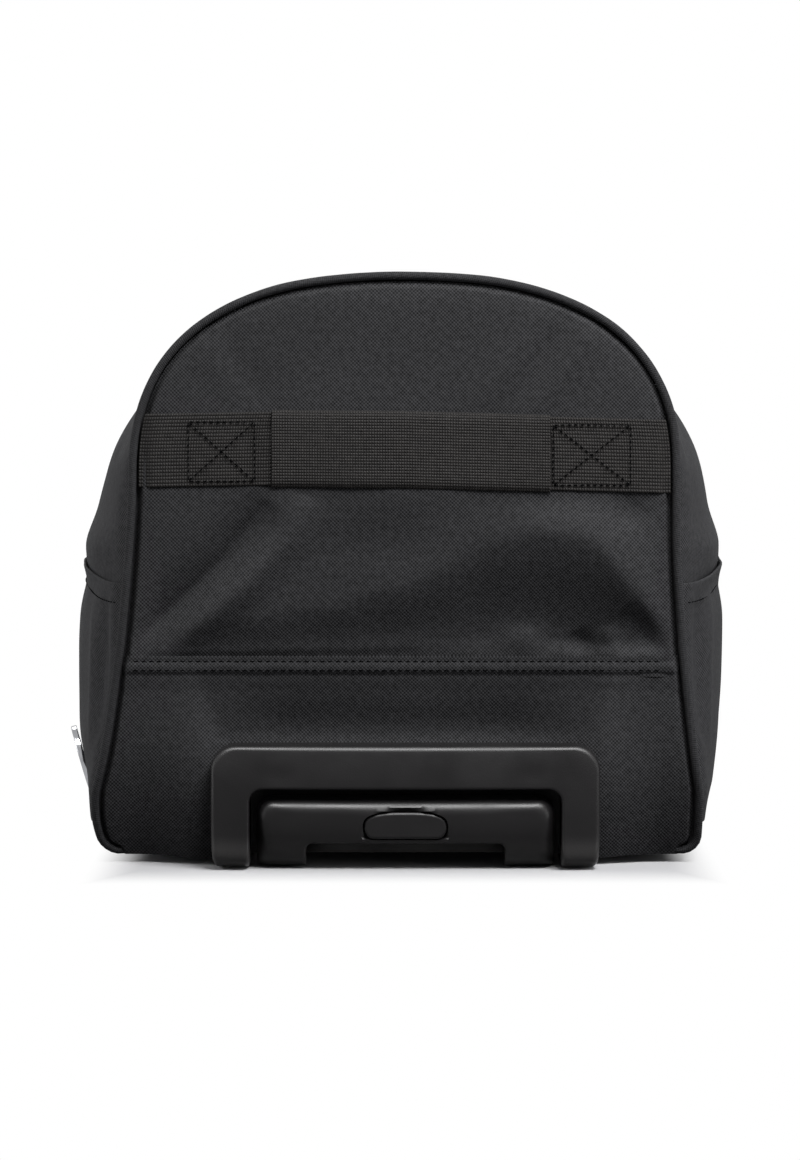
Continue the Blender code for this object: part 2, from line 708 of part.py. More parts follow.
def button_front():
    """Front face of the button."""
    return grip_front(BUTTON_Z) + BUTTON_SET_BACK


def well_floor():
    """Bottom of the well behind the button."""
    return button_front() + BUTTON_DEPTH + BUTTON_TRAVEL + WELL_MARGIN


def release_button(mat):
    """Push button in the middle of the grip."""
    back = button_front() + BUTTON_DEPTH
    button = extrude("release_button", button_outline(0.0), "Y", button_front(), back, mat)
    bevel(button, BUTTON_BEVEL, 2, 60.0)
    set_origin(button, (0.0, button_front(), BUTTON_Z))
    return button


def button_spring(mat):
    """Helical return spring between the button and the floor of its well."""
    start = button_front() + BUTTON_DEPTH + SPRING_WIRE + SEW_GAP
    end = well_floor() - SPRING_WIRE - SEW_GAP
    steps = 8 * SPRING_TURNS
    rings = []
    for i in range(steps + 1):
        t = 2.0 * math.pi * SPRING_TURNS * i / steps
        y = start + (end - start) * i / steps
        out = Vector((math.cos(t), 0.0, math.sin(t)))
        centre = out * SPRING_RADIUS + Vector((0.0, y, BUTTON_Z))
        angles = [0.5 * math.pi * k for k in range(4)]
        rings.append([centre + SPRING_WIRE * (math.cos(a) * out + math.sin(a) * Vector((0, 1, 0)))
                      for a in angles])
    return loft("button_spring", rings, mat)


def tube_size(stage):
    """Outside width and height of a tube: stage 1 inner, 2 middle, 3 outer."""
    grow = 2.0 * (stage - 1) * (TUBE_WALL + TUBE_CLEARANCE)
    return TUBE_WIDTH + grow, TUBE_HEIGHT + grow


def hollow(name, x, outer, inner, start, end, mat, flange=0.0):
    """Hollow rectangular tube along Y; a flange makes its front end wider."""
    def ring(size, y):
        corner = TUBE_CORNER + (size[0] - outer[0]) / 2.0
        return [(u, y, v) for u, v in rounded_rect(x, TUBE_Z, size[0], size[1], max(corner, BORE_CORNER))]

    rings = [ring(inner, start)]
    if flange:
        wide = (outer[0] + 2.0 * flange, outer[1] + 2.0 * flange)
        rings += [ring(wide, start), ring(wide, start + flange), ring(outer, start + flange)]
    else:
        rings += [ring(outer, start)]
    rings += [ring(outer, end), ring(inner, end)]
    return loft(name, rings, mat, closed=True)


def grown(size, amount):
    """Width and height with the same amount added on every side."""
    return size[0] + 2.0 * amount, size[1] + 2.0 * amount


def telescopic_tubes(metal, plastic):
    """Three nested tubes on each side with their collars."""
    neck_end = TRAY_BACK_Y + COLLAR_NECK
    for side, sign in SIDES:
        x = sign * TUBE_X
        outer_front = neck_end + SEW_GAP
        hollow("outer_tube_" + side, x, tube_size(3), grown(tube_size(3), -TUBE_WALL),
               outer_front, TUBE_REAR_Y, metal)
        bore = grown(tube_size(2), TUBE_CLEARANCE / 2.0)
        neck = grown(bore, COLLAR_WALL - SEW_GAP)
        flange_y = TRAY_BACK_Y - TRAY_WALL - COLLAR_FLANGE - SEW_GAP
        hollow("outer_collar_" + side, x, neck, bore, flange_y, neck_end, plastic, flange=COLLAR_FLANGE)
        cap_front = GRIP_BACK_Y + 2.0 * SEW_GAP
        cap_end = cap_front + COLLAR_LENGTH
        cap = hollow("middle_collar_" + side, x, tube_size(2), grown(tube_size(1), TUBE_CLEARANCE / 2.0),
                     cap_front, cap_end, plastic)
        middle = hollow("middle_tube_" + side, x, tube_size(2), grown(tube_size(2), -TUBE_WALL),
                        cap_end + SEW_GAP, TUBE_REAR_Y - TUBE_STEP, metal)
        inner = hollow("inner_tube_" + side, x, tube_size(1), grown(tube_size(1), -TUBE_WALL),
                       GRIP_BACK_Y - TUBE_SOCKET, TUBE_REAR_Y - 2.0 * TUBE_STEP, metal)
        for piece in (cap, middle, inner):
            set_origin(piece, (x, GRIP_BACK_Y, TUBE_Z))


def tube_anchor(mat):
    """Block that closes the rear ends of the outer tubes, with a plug in each."""
    bore = grown(tube_size(3), -TUBE_WALL - ANCHOR_EASE)
    start = TUBE_REAR_Y + SEW_GAP
    half = TUBE_X + bore[0] / 2.0 + ANCHOR_MARGIN
    right = [(TUBE_X - bore[0] / 2.0, start), (TUBE_X - bore[0] / 2.0, start - ANCHOR_PLUG),
             (TUBE_X + bore[0] / 2.0, start - ANCHOR_PLUG), (TUBE_X + bore[0] / 2.0, start),
             (half, start), (half, start + ANCHOR_LENGTH)]
    outline = right + [(-x, y) for x, y in reversed(right)]
    low = TUBE_Z - bore[1] / 2.0
    return extrude("tube_anchor", outline, "Z", low, low + bore[1], mat)


def end_panels(mat):
    """Flat upper panel of the handle end and the panel of the wheel end."""
    upper = clip_path(end_outline(PANEL_INSET), SEAM_Z + SEW_GAP, SEAM_Z + SEW_GAP)
    extrude("front_upper_panel", upper, "Y", FRONT_Y, FRONT_Y + PANEL_WALL, mat)
    rear = extrude("rear_panel", end_outline(PANEL_INSET), "Y", REAR_Y - PANEL_WALL, REAR_Y, mat)
    for _, sign in SIDES:
        combine(rear, housing_block(sign, 2.0 * SEW_GAP), "DIFFERENCE")


def piping(name, y, low_z, mat):
    """Round cord in the edge of an end panel, open at the bottom."""
    path = end_outline(PIPING_RADIUS)
    if low_z:
        path = clip_path(path, low_z, low_z)
    rings = []
    sides = 6
    for i, (x, z) in enumerate(path):
        ax, az = path[max(i - 1, 0)]
        bx, bz = path[min(i + 1, len(path) - 1)]
        out = Vector((bz - az, 0.0, ax - bx)).normalized()
        centre = Vector((x, y, z))
        angles = [2.0 * math.pi * k / sides for k in range(sides)]
        rings.append([centre + PIPING_RADIUS * (math.cos(a) * out + math.sin(a) * Vector((0, 1, 0)))
                      for a in angles])
    return loft(name, rings, mat)


def gussets_and_zip(fabric, tape):
    """Arched strips between the piping and the lid, and the body half of the zip."""
    low = ZIP_Z + ZIP_GAP / 2.0
    band = arch_band(SKIN_INSET, PANEL_WALL, low, low)
    extrude("front_gusset", band, "Y", SHELL_FRONT_Y, ZIP_FRONT_Y, fabric)
    extrude("rear_gusset", band, "Y", ZIP_REAR_Y, SHELL_REAR_Y, fabric)
    band = arch_band(SKIN_INSET, ZIP_WALL, low, low)
    extrude("zip_tape_front", band, "Y", ZIP_FRONT_Y + SEW_GAP, ZIP_FRONT_Y + SEW_GAP + ZIP_TAPE, tape)
    extrude("zip_tape_rear", band, "Y", ZIP_REAR_Y - SEW_GAP - ZIP_TAPE, ZIP_REAR_Y - SEW_GAP, tape)
    top = ZIP_Z - ZIP_GAP / 2.0
    rows = side_rows(top - ZIP_TAPE, top, 2, SHELL_FRONT_Y, SHELL_REAR_Y, 12, 1.0, lambda y, z: 0.0)
    sheet("zip_tape_side", rows, ZIP_WALL, tape)


def lid(fabric, tape):
    """Arched lid with the lid half of the zip on three edges, hinged along its left edge."""
    low = ZIP_Z + ZIP_GAP / 2.0
    cut = low + ZIP_TAPE
    axis = (-side_x(0.0, ZIP_Z), 0.0, ZIP_Z)
    pieces = [extrude("lid_panel", arch_band(SKIN_INSET, PANEL_WALL, cut + SEW_GAP, low), "Y",
                      LID_FRONT_Y + SEW_GAP, LID_REAR_Y - SEW_GAP, fabric)]
    band = arch_band(SKIN_INSET, ZIP_WALL, low, low)
    pieces.append(extrude("lid_zip_front", band, "Y", LID_FRONT_Y - ZIP_TAPE, LID_FRONT_Y, tape))
    pieces.append(extrude("lid_zip_rear", band, "Y", LID_REAR_Y, LID_REAR_Y + ZIP_TAPE, tape))
    levels = [low, 0.5 * (low + cut), cut]
    outer = [(half_width(z) - SKIN_INSET, z) for z in levels]
    inner = [(x - ZIP_WALL, z) for x, z in reversed(outer)]
    pieces.append(extrude("lid_zip_side", outer + inner, "Y",
                          LID_FRONT_Y + SEW_GAP, LID_REAR_Y - SEW_GAP, tape))
    for piece in pieces:
        set_origin(piece, axis)


def pull_lean(pin_x, y):
    """Angle at which a hanging pull rests against the side of the bag."""
    leans = []
    for i in range(1, 9):
        drop = PULL_LENGTH * i / 8.0
        reach = side_x(y, ZIP_Z - drop) + PULL_WALL + SEW_GAP - pin_x
        leans.append(math.atan2(reach, drop))
    return max(leans)


def zip_slider(name, sign, mat):
    """Slider on the side run of the zip with its hinged pull; sign picks the end it runs to."""
    y = sign * SLIDER_PITCH / 2.0
    low = ZIP_Z - SLIDER_HEIGHT / 2.0
    face = side_x(y, low) + SEW_GAP
    outline = rounded_rect(y, ZIP_Z, SLIDER_LENGTH, SLIDER_HEIGHT, SLIDER_CORNER)
    body = extrude("zip_slider_" + name, outline, "X", face, face + SLIDER_WALL, mat)
    pin = (face + SLIDER_WALL + PULL_PIN_RADIUS + PULL_WALL, y, ZIP_Z)
    loop = arc(pin[0], ZIP_Z, PULL_PIN_RADIUS + PULL_WALL - SEW_GAP, -90, 90, 6)
    root = face + SLIDER_WALL - BAIL_ROOT
    hook = [(root, loop[0][1])] + loop + [(root, loop[-1][1])]
    bail = extrude("cutter", hook, "Y", y - BAIL_HALF, y + BAIL_HALF, None)
    eye = 2.0 * PULL_PIN_RADIUS
    slot = rounded_rect(pin[0], ZIP_Z, eye, eye, PULL_PIN_RADIUS * 0.95, 2)
    drill = extrude("cutter", slot, "Y", y - SLIDER_LENGTH, y + SLIDER_LENGTH, None)
    combine(bail, drill, "DIFFERENCE")
    combine(body, bail, "UNION")
    set_origin(body, (face, y, ZIP_Z))

    half = PULL_WIDTH / 2.0
    right = [(half - PULL_TOE, -PULL_LENGTH), (half, -PULL_LENGTH + PULL_TOE), (half, -PULL_EASE),
             (half - PULL_EASE, 0.0)]
    plate = right + [(-u, v) for u, v in reversed(right)]
    pull = extrude("zip_pull_" + name, plate, "X", -PULL_WALL / 2.0, PULL_WALL / 2.0, mat)
    low = -PULL_PIN_RADIUS - PULL_WALL - 2.0 * SEW_GAP - PULL_EASE
    side = BAIL_HALF + 2.0 * SEW_GAP
    gate = [(-side, low), (side, low), (side, -PULL_WALL / 2.0), (-side, -PULL_WALL / 2.0)]
    combine(pull, extrude("cutter", gate, "X", -PULL_WALL, PULL_WALL, None), "DIFFERENCE")
    pull.data.transform(Matrix.Translation((0.0, 0.0, PULL_WALL / 4.0)))
    pull.data.transform(Matrix.Rotation(-pull_lean(pin[0], y), 4, "Y"))
    pull.location = pin


def badge(mat):
    """Plain round plate standing on the left pocket."""
    def point(y, z):
        return Vector((-side_x(y, z) - pocket_lift(y, z), y, z))

    step = 0.004
    centre = point(BADGE_Y, BADGE_Z)
    across = point(BADGE_Y + step, BADGE_Z) - point(BADGE_Y - step, BADGE_Z)
    up = point(BADGE_Y, BADGE_Z + step) - point(BADGE_Y, BADGE_Z - step)
    normal = across.cross(up).normalized()
    if normal.x > 0.0:
        normal.negate()
    edge = BADGE_WALL * 0.3
    profile = [(0.0, BADGE_RADIUS), (BADGE_WALL - edge, BADGE_RADIUS), (BADGE_WALL, BADGE_RADIUS - edge)]
    plate = turned("badge_plate", profile, "Z", (0, 0, 0), 24, mat)
    spin = normal.to_track_quat("Z", "Y").to_matrix().to_4x4()
    plate.data.transform(spin)
    plate.location = centre + normal * (4.0 * SEW_GAP)


def haul_strap(webbing, sleeve_mat):
    """Webbing strap sewn flat at both ends, standing off in the middle inside a sleeve."""
    lay = FRONT_Y - SEW_GAP
    free = STRAP_FREE_HALF
    ramp = [-free - STRAP_RAMP / 2.0 + 1.5 * STRAP_RAMP * i / 6.0 for i in range(7)]
    bends = sorted(ramp + [-SLEEVE_HALF, -0.5 * free, -0.25 * free])
    stations = [-STRAP_END] + bends + [0.0] + [-x for x in reversed(bends)] + [STRAP_END]

    def stand(x):
        rise = smooth((free + STRAP_RAMP / 2.0 - abs(x)) / (1.5 * STRAP_RAMP))
        return STRAP_STAND * rise * (1.0 - 0.12 * (abs(x) / free) ** 2)

    low, high = STRAP_Z - STRAP_HEIGHT / 2.0, STRAP_Z + STRAP_HEIGHT / 2.0

    def section(x, grow):
        back = lay - stand(x) + grow
        front = lay - stand(x) - STRAP_WALL - grow
        foot, head = low - grow, high + grow
        return [(x, back, foot), (x, front, foot), (x, front, head), (x, back, head)]

    loft("haul_strap", [section(x, 0.0) for x in stations], webbing)
    grow = SEW_GAP + SLEEVE_WALL
    spans = [x for x in stations if abs(x) <= SLEEVE_HALF + 1e-9]
    rings = [section(x, grow) for x in spans] + [section(x, SEW_GAP) for x in reversed(spans)]
    loft("haul_sleeve", rings, sleeve_mat, closed=True)


def bottom_and_base(fabric, board, foam):
    """Bottom panel, stiff base board and the foam cradle with two ball cups."""
    notch_x = WHEEL_X - HOUSING_HALF - 2.0 * SEW_GAP
    notch_y = WHEEL_Y - HOUSING_RADIUS - 2.0 * SEW_GAP
    front = FRONT_Y - NOSE_BULGE + NOSE_RADIUS_Y + NOSE_CROWN + 2.0 * SEW_GAP

    def tee(half, start, end):
        right = [(half, start), (half, notch_y), (notch_x, notch_y), (notch_x, end)]
        return right + [(-x, y) for x, y in reversed(right)]

    low = FLOOR_GAP
    edge = BASE_HALF_WIDTH - CORNER_RADIUS - SEW_GAP
    end = REAR_Y - PANEL_WALL
    extrude("bottom_panel", tee(edge, front, end - SEW_GAP), "Z", low, low + BOTTOM_WALL, fabric)
    outline = tee(BOARD_HALF_WIDTH, BOARD_FRONT_Y, end - BOARD_EASE)
    extrude("base_board", outline, "Z", BOARD_Z, BOARD_Z + BOARD_WALL, board)
    base = BOARD_Z + BOARD_WALL + SEW_GAP
    outline = rounded_rect(0.0, 0.0, 2.0 * CRADLE_HALF_WIDTH, 2.0 * CRADLE_HALF_LENGTH, CRADLE_CORNER, 4)
    cradle = extrude("ball_cradle", outline, "Z", base, base + CRADLE_HEIGHT, foam)
    radius = BALL_RADIUS + BALL_CLEARANCE
    for sign in (-1.0, 1.0):
        bm = bmesh.new()
        bmesh.ops.create_uvsphere(bm, u_segments=28, v_segments=18, radius=radius)
        ball = finish_mesh("cutter", bm, None)
        ball.location = (0.0, sign * BALL_PITCH / 2.0, base + CUP_FLOOR + radius)
        bpy.context.view_layer.update()
        combine(cradle, ball, "DIFFERENCE")


def housing_profile(radius, low_z, rear_y):
    """Closed outline of the wheel arch, seen from the side."""
    reach = math.degrees(math.acos((min(rear_y, WHEEL_Y + 0.999 * radius) - WHEEL_Y) / radius))
    points = arc(WHEEL_Y, WHEEL_RADIUS, radius, reach, 180, 10)
    cut = HOUSING_CHAMFER
    return points + [(WHEEL_Y - radius, low_z), (rear_y - cut, low_z), (rear_y, low_z + cut)]


def housing_block(sign, gap):
    """Solid of the space of one wheel housing, grown by a gap and open to the side."""
    inner = sign * (WHEEL_X - HOUSING_HALF - gap)
    outer = sign * (WHEEL_X + HOUSING_HALF + CUT_ROOM)
    outline = housing_profile(HOUSING_RADIUS + gap, FLOOR_GAP - CUT_ROOM, REAR_Y + WHEEL_REACH)
    return extrude("cutter", outline, "X", min(inner, outer), max(inner, outer), None)


def wheel_set(side, sign, plastic, rubber, metal):
    """Housing, axle, hub and tyre of one wheel."""
    x = sign * WHEEL_X
    axis = (x, WHEEL_Y, WHEEL_RADIUS)
    outline = housing_profile(HOUSING_RADIUS, HOUSING_FOOT_Z, REAR_Y + HOUSING_LIP)
    housing = extrude("wheel_housing_" + side, outline, "X", x - HOUSING_HALF, x + HOUSING_HALF, plastic)
    inner_radius = HOUSING_RADIUS - HOUSING_WALL
    inner_half = HOUSING_HALF - HOUSING_WALL
    well = housing_profile(inner_radius, FLOOR_GAP - CUT_ROOM, WHEEL_Y + inner_radius)
    combine(housing, extrude("cutter", well, "X", x - inner_half, x + inner_half, None), "DIFFERENCE")
    hole = AXLE_RADIUS + AXLE_CLEARANCE
    drill = turned("cutter", [(-CUT_ROOM, hole), (CUT_ROOM, hole)], "X", axis, 16, None)
    bpy.context.view_layer.update()
    combine(housing, drill, "DIFFERENCE")

    span = HOUSING_HALF + AXLE_CLEARANCE
    right = [(span, AXLE_RADIUS), (span, AXLE_HEAD_RADIUS), (span + 0.5 * AXLE_HEAD, AXLE_HEAD_RADIUS),
             (span + AXLE_HEAD, AXLE_HEAD_RADIUS - AXLE_CHAMFER)]
    profile = [(-a, r) for a, r in reversed(right)] + right
    turned("axle_" + side, profile, "X", axis, 16, metal)

    half = WHEEL_WIDTH / 2.0
    seat = WHEEL_RADIUS - TYRE_WALL
    rim = seat - SEW_GAP
    boss = AXLE_RADIUS + HUB_BOSS
    web = HUB_WEB / 2.0
    edge = half - HUB_FLARE / 2.0
    right = [(half, hole), (half, boss), (web, boss + HUB_FLARE), (web, rim - HUB_RIM - HUB_FLARE),
             (edge, rim - HUB_RIM), (edge, rim)]
    profile = right + [(-a, r) for a, r in reversed(right)]
    hub = lathe("wheel_hub_" + side, profile, "X", axis, 20, plastic)
    reach = 0.5 * (boss + rim - HUB_RIM)
    for i in range(HUB_HOLES):
        t = 2.0 * math.pi * (i + 0.1) / HUB_HOLES
        spot = (x, axis[1] + reach * math.cos(t), axis[2] + reach * math.sin(t))
        drill = turned("cutter", [(-half, HUB_HOLE_RADIUS), (half, HUB_HOLE_RADIUS)], "X", spot, 10, None)
        bpy.context.view_layer.update()
        combine(hub, drill, "DIFFERENCE")
    crest = WHEEL_RADIUS - 0.75 * TYRE_CHAMFER
    right = [(half, seat), (half, WHEEL_RADIUS - TYRE_SHOULDER), (half - TYRE_CHAMFER, crest),
             (half - TYRE_SHOULDER, WHEEL_RADIUS)]
    profile = right + [(-a, r) for a, r in reversed(right)]
    lathe("wheel_tyre_" + side, profile, "X", axis, 28, rubber)

    start = REAR_Y + SEW_GAP
    foot = [(start, FOOT_RADIUS), (WHEEL_REACH_Y - FOOT_CHAMFER, FOOT_RADIUS - FOOT_TAPER),
            (WHEEL_REACH_Y, FOOT_RADIUS - FOOT_TAPER - FOOT_CHAMFER)]
    turned("stand_foot_" + side, foot, "Y", (sign * FOOT_X, 0.0, FOOT_Z), 16, rubber)


def build():
    """Build every piece of the bag."""
    clear_scene()
    fabric = make_material("polyester_fabric", (0.021, 0.022, 0.024), 0.85)
    pocket = make_material("pocket_fabric", (0.020, 0.021, 0.023), 0.85)
    cord = make_material("piping_fabric", (0.022, 0.023, 0.025), 0.8)
    webbing = make_material("webbing", (0.022, 0.020, 0.018), 0.8)
    tape = make_material("zip_tape", (0.012, 0.012, 0.013), 0.7)
    nickel = make_material("zip_metal", (0.20, 0.20, 0.21), 0.35, 1.0)
    chrome = make_material("chrome_plate", (0.75, 0.75, 0.76), 0.08, 1.0)
    plastic = make_material("moulded_plastic", (0.024, 0.021, 0.022), 0.42)
    tube = make_material("black_tube", (0.05, 0.05, 0.052), 0.35, 1.0)
    steel = make_material("axle_steel", (0.45, 0.45, 0.46), 0.3, 1.0)
    rubber = make_material("tyre_rubber", (0.020, 0.020, 0.021), 0.6)
    board = make_material("base_board", (0.03, 0.03, 0.03), 0.6)
    foam = make_material("cradle_foam", (0.035, 0.035, 0.037), 0.95)

    side_panel("side_panel_left", -1.0, ZIP_Z - ZIP_GAP / 2.0, fabric)
    side_panel("side_panel_right", 1.0, ZIP_Z - ZIP_GAP / 2.0 - ZIP_TAPE - 2.0 * SEW_GAP, fabric)
    for side, sign in SIDES:
        combine(bpy.data.objects["side_panel_" + side], housing_block(sign, 2.0 * SEW_GAP), "DIFFERENCE")
        side_pocket("side_pocket_" + side, sign, pocket)
    end_panels(fabric)
    lower_panel(fabric)
    piping("front_piping", FRONT_Y + PIPING_RADIUS, 0.0, cord)
    piping("rear_piping", REAR_Y - PIPING_RADIUS, WHEEL_RADIUS + HOUSING_RADIUS + PIPING_EASE, cord)
    gussets_and_zip(fabric, tape)
    lid(fabric, tape)
    zip_slider("front", -1.0, nickel)
    zip_slider("rear", 1.0, nickel)
    badge(chrome)
    haul_strap(webbing, webbing)
    bottom_and_base(fabric, board, foam)
    handle_tray(plastic)
    handle_bezel(plastic)
    grip = handle_grip(plastic)
    set_origin(grip, (0.0, GRIP_BACK_Y, TUBE_Z))
    release_button(plastic)
    button_spring(steel)
    telescopic_tubes(tube, plastic)
    tube_anchor(plastic)
    for side, sign in SIDES:
        wheel_set(side, sign, plastic, rubber, steel)


build()
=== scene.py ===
"""Wheeled bowling ball bag: sewn polyester, webbing, coil zip, moulded pull handle and wheels."""
import json
import math

import bpy
import numpy as np
from bpy.props import FloatProperty, FloatVectorProperty, IntProperty, PointerProperty
from mathutils import Matrix, Vector, noise

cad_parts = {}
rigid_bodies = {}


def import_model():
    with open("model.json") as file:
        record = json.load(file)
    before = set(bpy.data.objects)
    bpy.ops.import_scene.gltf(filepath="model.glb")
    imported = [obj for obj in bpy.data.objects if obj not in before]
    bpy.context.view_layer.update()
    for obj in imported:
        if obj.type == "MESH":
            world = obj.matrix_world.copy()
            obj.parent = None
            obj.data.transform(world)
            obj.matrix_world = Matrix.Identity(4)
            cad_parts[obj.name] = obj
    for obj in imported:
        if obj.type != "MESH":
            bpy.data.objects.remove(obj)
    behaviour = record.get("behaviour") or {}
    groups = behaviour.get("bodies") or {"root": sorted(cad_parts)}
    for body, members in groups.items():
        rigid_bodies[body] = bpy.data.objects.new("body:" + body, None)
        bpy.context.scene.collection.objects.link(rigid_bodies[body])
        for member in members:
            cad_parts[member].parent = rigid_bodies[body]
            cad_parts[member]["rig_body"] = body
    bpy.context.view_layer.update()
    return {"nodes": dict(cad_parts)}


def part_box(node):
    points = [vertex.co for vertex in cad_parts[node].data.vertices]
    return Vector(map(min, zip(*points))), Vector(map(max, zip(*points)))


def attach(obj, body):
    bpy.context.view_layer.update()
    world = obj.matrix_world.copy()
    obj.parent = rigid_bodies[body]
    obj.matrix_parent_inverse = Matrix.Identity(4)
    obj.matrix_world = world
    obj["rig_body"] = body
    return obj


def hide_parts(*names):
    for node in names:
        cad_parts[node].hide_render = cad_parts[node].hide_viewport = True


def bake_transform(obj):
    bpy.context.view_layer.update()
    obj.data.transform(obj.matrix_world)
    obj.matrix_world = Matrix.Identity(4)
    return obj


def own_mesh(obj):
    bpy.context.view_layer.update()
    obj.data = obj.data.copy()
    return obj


bl_info = {
    "name": "Wheeled bowling bag",
    "version": (1, 0, 0),
    "blender": (4, 5, 0),
    "location": "View3D > Sidebar > Bag",
    "description": "Dresses the packed bowling bag in fabric, webbing, zip, plastic and rubber",
    "category": "Add Mesh",
}

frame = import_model()

# Outline of both ends, to the outside of the piping, in metres
TOP_Z = 0.308
ARCH_HALF = 0.143
SPRING_Z = 0.202
ARCH_POWER = 2.45
BASE_HALF = 0.159
FLARE_Z = 0.038
FLARE_POWER = 1.8
FLOOR_GAP = 0.004
CORNER = 0.010
FRONT_Y = -0.258
REAR_Y = 0.262
PIPING = 0.0028
PANEL_INSET = 0.0059
SKIN_INSET = 0.0012
SHELL_FRONT = -0.2521
SHELL_REAR = 0.2561
SHELL_LONG = 0.508
# How far the sides and gussets run in under the piping
TUCK = 0.0032

# Walls of the sewn pieces
PANEL_WALL = 0.0045
LOWER_WALL = 0.0035
LID_WALL = 0.0040
GUSSET_WALL = 0.0042
POCKET_WALL = 0.0016
TAPE_WALL = 0.0014

# Arch of the wheel housings, and how far the cloth is let into it
WHEEL_Y = 0.242
WHEEL_Z = 0.038
HOUSING_RADIUS = 0.0455
LET_IN = 0.0012

# Swell of the sides and of the lower front
BULGE = 0.0285
BULGE_POWER = 2.6
BULGE_TOP = 0.246
BULGE_PEAK = 0.142
BULGE_START = 0.018
SEAM_Z = 0.103
NOSE_Z = 0.028
NOSE_BULGE = 0.018
NOSE_RADIUS = 0.026
NOSE_CROWN = 0.004
NOSE_FLAT = 0.108

# Lapped seam between the panels of the handle end
SEAM_LAP = 0.1093
SEAM_FOLD = 0.0995
SEAM_ROWS = (0.1064, 0.1018)
UPPER_LOW = 0.0985

# Lid, zip, pockets
ZIP_Z = 0.256
ZIP_HALF_GAP = 0.0003
ZIP_TAPE = 0.0055
GUSSET_FRONT = -0.2301
GUSSET_REAR = 0.2341
LID_FRONT = -0.2179
LID_REAR = 0.2219
POCKET_LOW = 0.020
POCKET_TOP = 0.152
POCKET_FRONT = -0.250
POCKET_REAR = 0.188

# Handle end
STRAP_Z = 0.2145
STRAP_END = 0.1372
STRAP_HIGH = 0.0382
SLEEVE_HIGH = 0.0404
BEZEL_HALF = 0.1005
BEZEL_TOP = 0.064
BEZEL_INNER = 0.0805
TRAY_TOP = 0.0415
GRIP_HALF = 0.077
GRIP_TOP = 0.0365
GRIP_LEG = 0.0255
GRIP_BAR_Z = 0.0135
BUTTON_Z = 0.023
SIDES = (("left", -1.0), ("right", 1.0))


def linear(code):
    """Linear colour of an sRGB hex code."""
    values = [int(code[i:i + 2], 16) / 255.0 for i in (1, 3, 5)]
    return tuple(v / 12.92 if v <= 0.04045 else ((v + 0.055) / 1.055) ** 2.4 for v in values)


def length(name, default, about):
    """Property that holds a length in metres."""
    return FloatProperty(name=name, description=about, default=default, min=0.0, precision=5, unit="LENGTH")


def colour(name, code, about):
    """Property that holds a colour."""
    return FloatVectorProperty(name=name, description=about, default=linear(code), size=3, min=0.0, max=1.0,
                               subtype="COLOR")


class BagSizes(bpy.types.PropertyGroup):
    """Sizes of the sewn detail."""
    weave: length("Weave", 0.0019, "Spacing of the shell fabric's yarns, drawn coarser than the real 1.3 mm")
    twill: length("Twill", 0.0015, "Spacing of the piping fabric's ribs, drawn coarser than the real 1.1 mm")
    webbing: length("Webbing", 0.0028, "Two ribs of the haul strap, drawn coarser than the real 2.4 mm")
    grain: length("Grain", 0.0007, "Size of the moulded grain of the plastic")
    stitch: length("Stitch", 0.0040, "Spacing of the stitches")
    thread: length("Thread", 0.0007, "Thickness of the sewing thread")
    tooth: length("Zip tooth", 0.0022, "Spacing of the zip coil")
    hem: length("Hem", 0.0125, "Height of the pocket hem")
    slack: FloatProperty(name="Slack", description="How much larger the cloth is than the space it fills",
                         default=0.035, min=0.0, max=0.2, subtype="FACTOR")
    cloth_frames: IntProperty(name="Cloth frames", description="Frames that the cloth settles for",
                              default=18, min=1)


class BagColours(bpy.types.PropertyGroup):
    """Colours of the bag's materials."""
    # The shade and yarn colours of the woven materials paint the shade between the yarns and a highlight on
    # their tops
    fabric_dark: colour("Fabric shade", "#060607", "Between the yarns of the shell")
    fabric_light: colour("Fabric yarn", "#3d3d3f", "Top of the yarns of the shell")
    piping_dark: colour("Piping shade", "#0a0a0b", "Between the ribs of the piping")
    piping_light: colour("Piping yarn", "#3a3a3c", "Top of the ribs of the piping")
    webbing_dark: colour("Webbing shade", "#131212", "Between the ribs of the strap")
    webbing_light: colour("Webbing yarn", "#312f2e", "Top of the ribs of the strap")
    plastic: colour("Plastic", "#131213", "Moulded handle parts")
    # Painted reflection of the lit floor: the plastic turns to this paler colour near the floor
    floor_lit: colour("Floor-lit plastic", "#2f2e2e", "Moulded plastic rubbed paler near the floor")
    tape: colour("Zip tape", "#1b1c1e", "Woven tape of the zip")
    coil: colour("Zip coil", "#232427", "Nylon coil of the zip")
    thread: colour("Thread", "#0c0c0d", "Sewing thread")
    tube: colour("Tube", "#3a3b3e", "Anodised handle tubes")
    chrome: colour("Chrome", "#98999c", "Plated badge")
    zinc: colour("Zinc", "#7c7d80", "Zip sliders and pulls")
    steel: colour("Steel", "#a9aaac", "Axles and spring")
    rubber: colour("Rubber", "#222224", "Tyres and stand feet")
    foam: colour("Foam", "#333438", "Ball cradle")
    board: colour("Board", "#26262a", "Base board")
    floor: colour("Floor", "#b6b6b8", "Floor of the studio, as the camera sees it")
    floor_shade: colour("Floor shade", "#505051", "Floor of the studio, as it throws light back")


def sizes():
    """The sizes set in the scene."""
    return bpy.context.scene.bag_sizes


def paint(name):
    """A colour set in the scene, with its alpha."""
    return (*getattr(bpy.context.scene.bag_colours, name), 1.0)


# Form of the bag


def smooth(t):
    """Smooth step from 0 to 1."""
    t = np.clip(t, 0.0, 1.0)
    return t * t * (3.0 - 2.0 * t)


